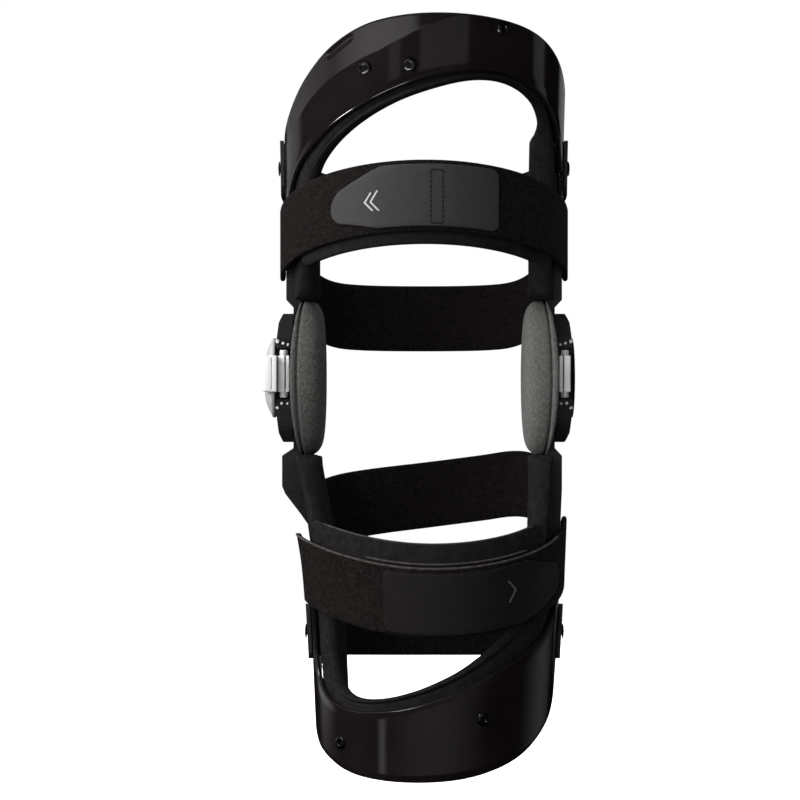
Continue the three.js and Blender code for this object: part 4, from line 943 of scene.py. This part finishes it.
def bead(name, path, radius, material, around=8):
    """A round bead along a line of points, tapered to its ends."""
    run = run_length(path)
    taper = rounded(np.minimum(run, run[-1] - run), BEAD_TAPER)
    ahead = np.gradient(path, axis=0)
    ahead /= np.linalg.norm(ahead, axis=1)[:, None]
    side = np.cross(ahead, (0.0, 0.0, 1.0))
    side /= np.linalg.norm(side, axis=1)[:, None]
    up = np.cross(side, ahead)
    turn = np.linspace(0, 2 * math.pi, around, endpoint=False)
    spokes = np.cos(turn)[None, :, None] * side[:, None] + np.sin(turn)[None, :, None] * up[:, None]
    points = path[:, None] + spokes * (radius * taper)[:, None, None]
    return closed_mesh(name, points.reshape(-1, 3), ring_faces(len(path), around), material)


def add_bindings(colours):
    for name, (low, high, seat, lift, radius) in BINDINGS.items():
        deg = np.linspace(low, high, 160)
        path = form_point(deg, bowed("calf", deg) + lift, seat)
        settle(bead(f"calf_{name}", path, radius, edge_binding_and_sheen(colours)), "calf", "webbing")


def tab_reach(tab, deg, full, slope, drop):
    """Reach of a tab's edge from its middle line: a rounded tip, then a straight flare to the full reach."""
    past = np.abs(deg - tab.tip)
    tip = np.sqrt(1 - (1 - np.clip(past / TIP_DEG, 0.01, 1)) ** 2)
    flare = np.clip(past / slope, 0, 1)
    return drop + TIP_HALF * tip + (full - drop - TIP_HALF) * flare


def add_tab(part, sizes, material):
    """A smooth closing tab on a front strap."""
    tab = TABS[part]
    low, high = sorted((tab.tip, tab.end))
    route = front_route(part, low, high, TAB_SEAT)
    above = tab_reach(tab, route[:, 0], tab.above, tab.slope_above, -TIP_DROP)
    below = tab_reach(tab, route[:, 0], tab.below, tab.slope_below, TIP_DROP)
    name = f"{part}_front_strap_tab"
    piece = strap(f"{name}_cloth", route, above, below, sizes.tab_wall, TAB_MAKES[part], material)
    settle(piece, part, "tab", name)


def add_marks(part, sizes, material):
    """Plain printed arrowheads, a little proud of the tab."""
    surface = TAB_SEAT + sizes.tab_wall / 2
    for number, points in enumerate(MARKS[part], 1):
        corners = np.array(points)
        girth = math.pi / 180 * column_at(HALF_WIDTH, corners[:, 1]).mean()
        flat = corners * (girth, 1)
        arms = np.diff(flat, axis=0)
        arms /= np.linalg.norm(arms, axis=1)[:, None]
        sides = np.stack([-arms[:, 1], arms[:, 0]], -1)
        mitre = sides.sum(0) / (1 + sides[0] @ sides[1])
        offsets = np.array([sides[0], mitre, sides[1]]) * sizes.mark_stroke / 2
        share = np.linspace(0, 2, 17)
        grid = np.stack([
            [np.interp(share, (0, 1, 2), (flat + side * offsets)[:, k]) for k in (0, 1)]
            for side in (-1, -0.5, 0, 0.5, 1)
        ]).transpose(2, 0, 1) / (girth, 1)
        deg, z = grid[..., 0], grid[..., 1]
        under = np.full(deg.shape, surface - MARK_SINK)
        proud = under.copy()
        proud[1:-1, 1:-1] = surface + MARK_RISE
        upper, lower = form_point(deg, z, proud), form_point(deg, z, under)
        settle(quilt(f"{part}_tab_mark_{number}", upper, lower, material), part, "tab")


def point_at(line, run, place):
    """The point of a line at a distance along it."""
    return np.array([np.interp(place, run, line[:, k]) for k in range(3)])


def stitches(name, lines, sizes, material):
    """Rows of short stitches along lines of surface points and their outward directions."""
    turn = np.linspace(0, 2 * math.pi, STITCH.around, endpoint=False)[:, None]
    points, faces = [], []
    for line, outward in lines:
        run = run_length(line)
        count = max(1, round(run[-1] / sizes.stitch))
        for middle in (np.arange(count) + 0.5) * run[-1] / count:
            at = point_at(line, run, middle)
            ahead = point_at(line, run, middle + STITCH.near) - point_at(line, run, middle - STITCH.near)
            ahead /= np.linalg.norm(ahead)
            out = point_at(outward, run, middle)
            spoke = np.cos(turn) * np.cross(ahead, out) + STITCH.flat * np.sin(turn) * out
            rings = []
            for place, radius in STITCH_ROWS:
                ring = at + ahead * place * sizes.stitch * STITCH.share
                rings.append(ring + spoke * radius * sizes.thread)
            first = len(points) * len(rings) * STITCH.around
            faces.append(ring_faces(len(rings), STITCH.around, first))
            points.append(np.concatenate(rings))
    return closed_mesh(name, np.concatenate(points), np.concatenate(faces), material)


def add_stitch_box(sizes, colours):
    """A sewn box on the thigh's tab."""
    out = TAB_SEAT + sizes.tab_wall / 2 + STITCH.proud
    box = STITCH_BOX
    left = [(box.from_deg, box.low), (box.from_deg, box.high)]
    right = [(box.to_deg, box.high), (box.to_deg, box.low)]
    corners = left + right
    lines = []
    for (deg_a, up_a), (deg_b, up_b) in zip(corners, corners[1:] + corners[:1]):
        deg = np.linspace(deg_a, deg_b, 30)
        z = bowed("thigh", deg) + np.linspace(up_a, up_b, 30)
        line = form_point(deg, z, out)
        outward = form_point(deg, z, out + 1) - line
        lines.append((line, outward / np.linalg.norm(outward, axis=1)[:, None]))
    settle(stitches("thigh_tab_stitching", lines, sizes, sewing_thread(colours)), "thigh", "webbing")


# Hard parts
def dress_node(node, material, bevel):
    """A solid that keeps its shape, with softened edges and a finish."""
    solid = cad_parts[node]
    solid.data.materials.clear()
    solid.data.materials.append(material)
    weld = solid.modifiers.new("weld", "WELD")
    weld.merge_threshold = 1e-5
    rounding = solid.modifiers.new("soft_edges", "BEVEL")
    rounding.width = bevel * MM
    rounding.segments = 2
    rounding.limit_method = "ANGLE"
    rounding.angle_limit = math.radians(35)
    rounding.harden_normals = True


def facing(place, out):
    """A matrix in millimetres that stands a turned piece at a place, with its axis along a direction."""
    return Matrix.Translation(place) @ Vector(out).to_track_quat("Z", "Y").to_matrix().to_4x4()


def on_skin(deg, z):
    """A matrix in millimetres that stands a turned piece on the shells' skin."""
    aside = Vector(form_point(deg + 1, z, 0.0) - form_point(deg - 1, z, 0.0))
    up = Vector(form_point(deg, z + 1, 0.0) - form_point(deg, z - 1, 0.0))
    return facing(Vector(form_point(deg, z, 0.0)), aside.cross(up).normalized())


def add_screws(part, sizes, colours):
    """Screws with domed heads and round sockets."""
    r = sizes.screw_head
    profile = [
        (0, -2.9), (1.6, -2.9), (1.6, 0.2), (r, 0.2), (r, 0.45), (0.94 * r, 0.8), (0.8 * r, 1.1),
        (0.62 * r, 1.3), (0.54 * r, 1.34), (0.5 * r, 1.25), (0.48 * r, 0.5), (0.4 * r, 0.42), (0, 0.42),
    ]
    for number, (deg, z) in enumerate(SCREWS[part], 1):
        name = f"{part}_screw_{number}"
        piece = closed_mesh(f"{name}_head", *turned(profile, on_skin(deg, z)), dark_steel(colours))
        settle(piece, part, "steel", name)
        lit_alone(part).objects.link(piece)


def add_rivets(part, sizes, colours):
    """Rivets with domed heads through the strap brackets."""
    r = sizes.rivet_head
    profile = [
        (0, -8.4), (2.2, -8.4), (2.2, 2.6), (r, 2.6), (0.97 * r, 2.8), (0.86 * r, 3.2), (0.6 * r, 3.45),
        (0.45 * r, 3.5), (0.4 * r, 3.3), (0, 3.25),
    ]
    z = float(hung(part, 90.0))
    for name, side in SIDES.items():
        seat = Vector(form_point(90.0 * side, z, 0.0))
        head = turned(profile, facing(seat, (side, 0, 0)))
        piece = closed_mesh(f"{part}_bracket_rivet_head_{name}", *head, dark_steel(colours))
        settle(piece, part, "steel", f"{part}_bracket_rivet_{name}")


def swell(piece, held):
    """The piece's cover swells a little under air pressure, by cloth simulation."""
    scene = bpy.context.scene
    group = piece.vertex_groups.new(name="held")
    group.add(held, 1.0, "REPLACE")
    modifier = piece.modifiers.new("swell", "CLOTH")
    modifier.point_cache.frame_start = 1
    modifier.point_cache.frame_end = SWELL.frames
    cover = modifier.settings
    cover.quality = SWELL.quality
    cover.mass = SWELL.mass
    cover.tension_stiffness = SWELL.stretch
    cover.compression_stiffness = SWELL.stretch
    cover.bending_stiffness = SWELL.bend
    cover.use_pressure = True
    cover.uniform_pressure_force = SWELL.pressure
    cover.vertex_group_mass = "held"
    cover.effector_weights.gravity = 0
    for number in range(SWELL.frames):
        scene.frame_set(number + 1)
    graph = bpy.context.evaluated_depsgraph_get()
    result = np.empty(len(piece.data.vertices) * 3)
    piece.evaluated_get(graph).data.vertices.foreach_get("co", result)
    start = np.empty(len(result))
    piece.data.vertices.foreach_get("co", start)
    moved = (result - start).reshape(-1, 3)
    size = np.linalg.norm(moved, axis=1)[:, None]
    moved *= np.minimum(1, SWELL.most * MM / np.maximum(size, 1e-12))
    piece.data.vertices.foreach_set("co", start + moved.ravel())
    piece.modifiers.remove(modifier)
    piece.vertex_groups.remove(group)
    scene.frame_set(1)
    piece.data.update()


def add_knee_pad(name, side, colours):
    """An oval cushion: a domed face, a groove, and a beaded rim that reaches out in front of the hinge."""
    angle = np.linspace(0, 2 * math.pi, PAD_AROUND, endpoint=False)
    front = np.clip(-np.cos(angle), 0, 1) ** RIM_EASE
    reach = HINGE.plate - HINGE.pad_back + (HINGE.rim_reach - HINGE.plate) * front
    out, inward, share = PAD_ROWS.T[..., None]
    across = HINGE.pad_back + out * reach - inward
    depth, height = PAD_HALF
    body = np.stack([side * across, depth * share * np.cos(angle), height * share * np.sin(angle)], -1)
    back, face = HINGE.pad_back, HINGE.pad_back - PAD_ROWS[-1, 1]
    points, faces = capped(body, (side * back, 0, 0), (side * face, 0, 0))
    piece = closed_mesh(f"knee_pad_cushion_{name}", points, faces, brushed_cloth(colours))
    back_middle = len(points) - 2
    swell(piece, [*range(PAD_HELD_ROWS * PAD_AROUND), back_middle])
    settle(piece, f"hinge_{name}", "knee_pad", f"knee_pad_{name}")
    lit_alone(f"knee_pad_{name}").objects.link(piece)


def rounded_block(low, high, radius):
    """Points and faces of a box with rounded edges."""
    low, high = np.array(low, float), np.array(high, float)
    steps = edge_steps(radius, 4)
    lines = [np.concatenate([low[k] + steps, high[k] - steps[::-1]]) for k in range(3)]
    count = len(steps) * 2
    points, faces = [], []
    for axis in range(3):
        for end in (0, -1):
            u, v = [k for k in range(3) if k != axis]
            grid = np.zeros((count, count, 3))
            grid[..., u] = lines[u][:, None]
            grid[..., v] = lines[v][None]
            grid[..., axis] = lines[axis][end]
            base = sum(len(p) for p in points)
            points.append(grid.reshape(-1, 3))
            index = base + np.arange(count * count).reshape(count, count)
            flip = (end == -1) == (axis == 1)
            faces.append(quads(index)[:, ::-1] if flip else quads(index))
    points = np.concatenate(points)
    core = np.clip(points, low + radius, high - radius)
    away = points - core
    reach = np.linalg.norm(away, axis=1)[:, None]
    points = core + away * np.where(reach > 1e-9, radius / np.maximum(reach, 1e-9), 0)
    kept, index = np.unique(points.round(5), axis=0, return_inverse=True)
    return kept, index.reshape(-1)[np.concatenate(faces)]


def joined(name, parts, material):
    """One mesh of several closed shapes."""
    points, faces = [], []
    base = 0
    for spots, sides in parts:
        points.append(spots)
        faces.append(faced_out(spots, sides) + base)
        base += len(spots)
    return closed_mesh(name, np.concatenate(points), np.concatenate(faces), material)


def rod(start, stop, radius, around=20):
    """Points and faces of a round bar with softened ends."""
    line = Vector(stop) - Vector(start)
    soft = 0.25 * radius
    profile = [(0, 0), (radius - soft, 0), (radius - 0.3 * soft, 0.3 * soft), (radius, soft)]
    profile += [(wide, line.length - place) for wide, place in profile[::-1]]
    return turned(profile, facing(start, line), around)


def add_stop(name, side, colours):
    """The extension stop: a wide and a narrow column, a collar above and below, and small pins beside it."""
    body = f"hinge_{name}"
    columns = []
    for near, far, recess in STOP_COLUMNS:
        left, right = sorted((side * near, side * far))
        low, high = (left, STOP.front + recess, STOP.low), (right, STOP.back, STOP.high)
        columns.append(rounded_block(low, high, STOP.rounding))
    piece = joined(f"hinge_stop_columns_{name}", columns, silver_white(colours))
    settle(piece, body, "silver", f"hinge_stop_{name}")
    x, y = side * STOP.middle, (STOP.front + STOP.back) / 2
    below = (STOP.low - STOP.collar_reach, STOP.low + STOP.collar_sink)
    above = (STOP.high - STOP.collar_sink, STOP.high + STOP.collar_reach)
    collars = [rod((x, y, low), (x, y, high), STOP.collar) for low, high in (below, above)]
    settle(joined(f"hinge_stop_collars_{name}", collars, bright_steel(colours)), body, "steel")
    back, front = PIN_DEPTHS
    pins = [rod((side * out, back, z), (side * out, front, z), radius, 12) for out, z, radius in STOP_PINS]
    settle(joined(f"hinge_stop_pins_{name}", pins, bright_steel(colours)), body, "steel")


def add_cap(name, side, colours):
    """The round cap on the outside of a hinge, and the lip of the silver one."""
    thick, slot = CAPS[name]
    r = CAP.radius
    profile = [
        (0, 0), (r - 0.3, 0), (r, 0.05 * thick), (r, 0.22 * thick), (0.985 * r, 0.3 * thick),
        (0.93 * r, 0.38 * thick), (0.85 * r, 0.52 * thick), (0.74 * r, 0.7 * thick), (0.6 * r, 0.86 * thick),
        (0.45 * r, 0.95 * thick), (0.25 * r, thick), (0, thick),
    ]
    place = facing((side * CAP.seat, 0, 0), (side, 0, 0))
    disc = cap_silver_painted_shade(colours) if slot == "silver" else painted_black(colours)
    cap = closed_mesh(f"hinge_cap_disc_{name}", *turned(profile, place, 72), disc)
    settle(cap, f"hinge_{name}", slot, f"hinge_cap_{name}")
    if slot == "silver":
        front = -r - LIP.past
        left, right = sorted((side * CAP.seat, side * (CAP.seat + thick)))
        face = rounded_block((left, front, STOP.low), (right, -r + LIP.onto, STOP.high), LIP.rounding)
        left, right = sorted((side * (CAP.seat - LIP.hook_in), side * (CAP.seat + LIP.hook_out)))
        hook = rounded_block((left, front, STOP.low), (right, LIP.hook_back, STOP.high), LIP.hook_rounding)
        lip = joined(f"hinge_cap_lip_{name}", [face, hook], lip_silver_painted_shade(colours))
        settle(lip, f"hinge_{name}", slot)


# Stage
def feathered(light, feather):
    """Fade a panel of light towards its edges, over shares of its half width and half height."""
    light.use_nodes = True
    tree = light.node_tree
    place = add_node(tree, "ShaderNodeNewGeometry").outputs["Parametric"]
    split = add_node(tree, "ShaderNodeSeparateXYZ", {0: place})
    strength = add_node(tree, "ShaderNodeMath", {}, operation="MULTIPLY")
    for number, share in enumerate(feather):
        halves = {0: split.outputs[number], 1: 0.5}
        from_edge = add_node(tree, "ShaderNodeMath", halves, operation="PINGPONG")
        limits = {"Value": from_edge.outputs[0], "From Max": share / 2}
        fade = add_node(tree, "ShaderNodeMapRange", limits, interpolation_type="SMOOTHSTEP")
        tree.links.new(fade.outputs["Result"], strength.inputs[number])
    tree.links.new(strength.outputs[0], tree.nodes["Emission"].inputs["Strength"])


def panel(name, brightness, azimuth, elevation, distance, size, feather=None):
    """A panel of light that faces the brace: it shines in gloss if it fades to its edges, or else shades."""
    light = bpy.data.lights.new(name, "AREA")
    light.shape = "RECTANGLE"
    light.size, light.size_y = size
    light.energy = brightness * math.pi * size[0] * size[1]
    if feather:
        feathered(light, feather)
    turn, rise = math.radians(azimuth), math.radians(elevation)
    away = Vector((math.sin(turn) * math.cos(rise), -math.cos(turn) * math.cos(rise), math.sin(rise)))
    lamp = bpy.data.objects.new(name, light)
    lamp.location = away * distance
    lamp.rotation_euler = away.to_track_quat("Z", "Y").to_euler()
    lamp.visible_camera = False
    lamp.visible_diffuse = feather is None
    lamp.visible_glossy = feather is not None
    bpy.context.scene.collection.objects.link(lamp)
    if name in LIT_ALONE:
        lamp.light_linking.receiver_collection = lit_alone(LIT_ALONE[name])


def add_daylight(stage):
    """Even white light from all round, and a white backdrop that only the camera sees."""
    scene = bpy.context.scene
    scene.view_settings.view_transform = "Standard"
    world = bpy.data.worlds.new("daylight")
    world.use_nodes = True
    tree = world.node_tree
    dim = tree.nodes["Background"]
    dim.inputs["Color"].default_value = (1, 1, 1, 1)
    dim.inputs["Strength"].default_value = stage.daylight
    plain = add_node(tree, "ShaderNodeBackground", {"Color": (1, 1, 1, 1), "Strength": stage.backdrop})
    seen = add_node(tree, "ShaderNodeLightPath").outputs["Is Camera Ray"]
    both = {0: seen, 1: dim.outputs["Background"], 2: plain.outputs["Background"]}
    sky = add_node(tree, "ShaderNodeMixShader", both)
    tree.links.new(sky.outputs["Shader"], tree.nodes["World Output"].inputs["Surface"])
    scene.world = world
    world.cycles_visibility.glossy = False


def add_floor(stage, colours):
    """A plain floor that neither lights the brace nor shows in its gloss."""
    z = CAD_BOX[0].z - stage.floor_drop
    corners = [(x * FLOOR_REACH, y * FLOOR_REACH, z) for x, y in ((-1, -1), (1, -1), (1, 1), (-1, 1))]
    mesh = bpy.data.meshes.new("floor")
    mesh.from_pydata(corners, [], [(0, 1, 2, 3)])
    pale = finish("pale_floor", colours.floor, (0.98, 1.02), ("noise", 3), (0.8, 0.9), [],
                  Specular_IOR_Level=0.1)
    floor = new_object("floor", mesh, pale)
    floor.visible_glossy = False
    floor.visible_diffuse = False
    floor.visible_shadow = False


def add_camera(stage):
    camera = bpy.data.cameras.new("camera")
    camera.lens = stage.lens
    camera.sensor_width = 36.0
    camera.clip_start = 0.01
    lens = bpy.data.objects.new("camera", camera)
    lens.location = (stage.aim_x, -stage.distance, stage.aim_z)
    lens.rotation_euler = (math.pi / 2, 0, 0)
    bpy.context.scene.collection.objects.link(lens)
    bpy.context.scene.camera = lens


def add_stage(stage, colours):
    add_daylight(stage)
    add_floor(stage, colours)
    for name, (setting, share, *where) in LIGHTS.items():
        panel(name, getattr(stage, setting) * share, *where)
    add_camera(stage)


# Operators
PARTS = ("thigh", "calf")


def chosen(context):
    """The sizes in millimetres, and the colours."""
    return in_mm(context.scene.brace_sizes), context.scene.brace_colours


class BRACE_OT_shells(Operator):
    """Add the glossy shells of the thigh and the calf"""

    bl_idname = "brace.shells"
    bl_label = "Shells"

    def execute(self, context):
        for part in PARTS:
            add_shell(part, *chosen(context))
        return {"FINISHED"}


class BRACE_OT_liners(Operator):
    """Add the soft liners with their piped edges"""

    bl_idname = "brace.liners"
    bl_label = "Liners"

    def execute(self, context):
        for part in PARTS:
            add_liner(part, *chosen(context))
        return {"FINISHED"}


class BRACE_OT_fasteners(Operator):
    """Add the screws of the shells and the rivets of the brackets"""

    bl_idname = "brace.fasteners"
    bl_label = "Screws and rivets"

    def execute(self, context):
        for part in PARTS:
            add_screws(part, *chosen(context))
            add_rivets(part, *chosen(context))
        return {"FINISHED"}


class BRACE_OT_arms(Operator):
    """Soften and paint the arms and the strap brackets"""

    bl_idname = "brace.arms"
    bl_label = "Arms and brackets"

    def execute(self, context):
        paint = painted_black(context.scene.brace_colours)
        for part in PARTS:
            for side in SIDES:
                dress_node(f"{part}_arm_{side}", paint, BEVELS.arm)
                dress_node(f"{part}_strap_bracket_{side}", paint, BEVELS.bracket)
        return {"FINISHED"}


class BRACE_OT_front_straps(Operator):
    """Add the straps over the front and the pads behind them"""

    bl_idname = "brace.front_straps"
    bl_label = "Front straps"

    def execute(self, context):
        for part in PARTS:
            add_front_strap(part, *chosen(context))
            add_strap_pad(part, *chosen(context))
        add_bindings(context.scene.brace_colours)
        return {"FINISHED"}


class BRACE_OT_tabs(Operator):
    """Add the smooth closing tabs with their marks and stitching"""

    bl_idname = "brace.tabs"
    bl_label = "Closing tabs"

    def execute(self, context):
        sizes, colours = chosen(context)
        add_tab("thigh", sizes, tab_cloth("grey_tab", colours.tab_grey, (0.42, 0.55)))
        add_tab("calf", sizes, tab_cloth("black_tab", colours.tab_black, (0.3, 0.4)))
        add_marks("thigh", sizes, printed_mark("pale_mark", colours.mark))
        add_marks("calf", sizes, printed_mark("faint_mark", colours.mark_faint))
        add_stitch_box(sizes, colours)
        return {"FINISHED"}


class BRACE_OT_rear_straps(Operator):
    """Add the four straps across the back"""

    bl_idname = "brace.rear_straps"
    bl_label = "Rear straps"

    def execute(self, context):
        for part in PARTS:
            add_knee_strap(part, *chosen(context))
            add_end_strap(part, *chosen(context))
        return {"FINISHED"}


class BRACE_OT_hinges(Operator):
    """Add the caps and stops of the hinges, and finish their plates and pins"""

    bl_idname = "brace.hinges"
    bl_label = "Hinges"

    def execute(self, context):
        colours = context.scene.brace_colours
        for name, side in SIDES.items():
            dress_node(f"hinge_inner_plate_{name}", painted_black(colours), BEVELS.inner_plate)
            dress_node(f"hinge_outer_plate_{name}", painted_black(colours), BEVELS.outer_plate)
            dress_node(f"hinge_pin_upper_{name}", dark_steel(colours), BEVELS.pin)
            dress_node(f"hinge_pin_lower_{name}", dark_steel(colours), BEVELS.pin)
            add_cap(name, side, colours)
            add_stop(name, side, colours)
        return {"FINISHED"}


class BRACE_OT_knee_pads(Operator):
    """Add the oval cushions inside the hinges"""

    bl_idname = "brace.knee_pads"
    bl_label = "Knee pads"

    def execute(self, context):
        for name, side in SIDES.items():
            add_knee_pad(name, side, context.scene.brace_colours)
        return {"FINISHED"}


class BRACE_OT_stage(Operator):
    """Add the floor, the soft lights and the camera"""

    bl_idname = "brace.stage"
    bl_label = "Stage"

    def execute(self, context):
        add_stage(context.scene.brace_stage, context.scene.brace_colours)
        return {"FINISHED"}


OPERATORS = (
    BRACE_OT_stage,
    BRACE_OT_shells,
    BRACE_OT_liners,
    BRACE_OT_fasteners,
    BRACE_OT_arms,
    BRACE_OT_front_straps,
    BRACE_OT_tabs,
    BRACE_OT_rear_straps,
    BRACE_OT_hinges,
    BRACE_OT_knee_pads,
)


class BRACE_PT_panel(Panel):
    """Pieces, sizes and colours of the knee brace"""

    bl_idname = "BRACE_PT_panel"
    bl_label = "Knee brace"
    bl_space_type = "VIEW_3D"
    bl_region_type = "UI"
    bl_category = "Knee brace"

    def draw(self, context):
        for group in (context.scene.brace_sizes, context.scene.brace_colours, context.scene.brace_stage):
            column = self.layout.column()
            for name in group.bl_rna.properties.keys():
                if name not in ("rna_type", "name"):
                    column.prop(group, name)
        for operator in OPERATORS:
            self.layout.operator(operator.bl_idname)


GROUPS = {"brace_sizes": BraceSizes, "brace_colours": BraceColours, "brace_stage": BraceStage}


def register():
    for made in (*GROUPS.values(), *OPERATORS, BRACE_PT_panel):
        bpy.utils.register_class(made)
    for name, group in GROUPS.items():
        setattr(bpy.types.Scene, name, PointerProperty(type=group))


def unregister():
    for name in GROUPS:
        delattr(bpy.types.Scene, name)
    for made in (BRACE_PT_panel, *reversed(OPERATORS), *reversed(GROUPS.values())):
        bpy.utils.unregister_class(made)


def main():
    register()
    bpy.ops.brace.stage()
    bpy.ops.brace.shells()
    bpy.ops.brace.liners()
    bpy.ops.brace.fasteners()
    bpy.ops.brace.arms()
    bpy.ops.brace.front_straps()
    bpy.ops.brace.tabs()
    bpy.ops.brace.rear_straps()
    bpy.ops.brace.hinges()
    bpy.ops.brace.knee_pads()


if __name__ == "__main__":
    main()
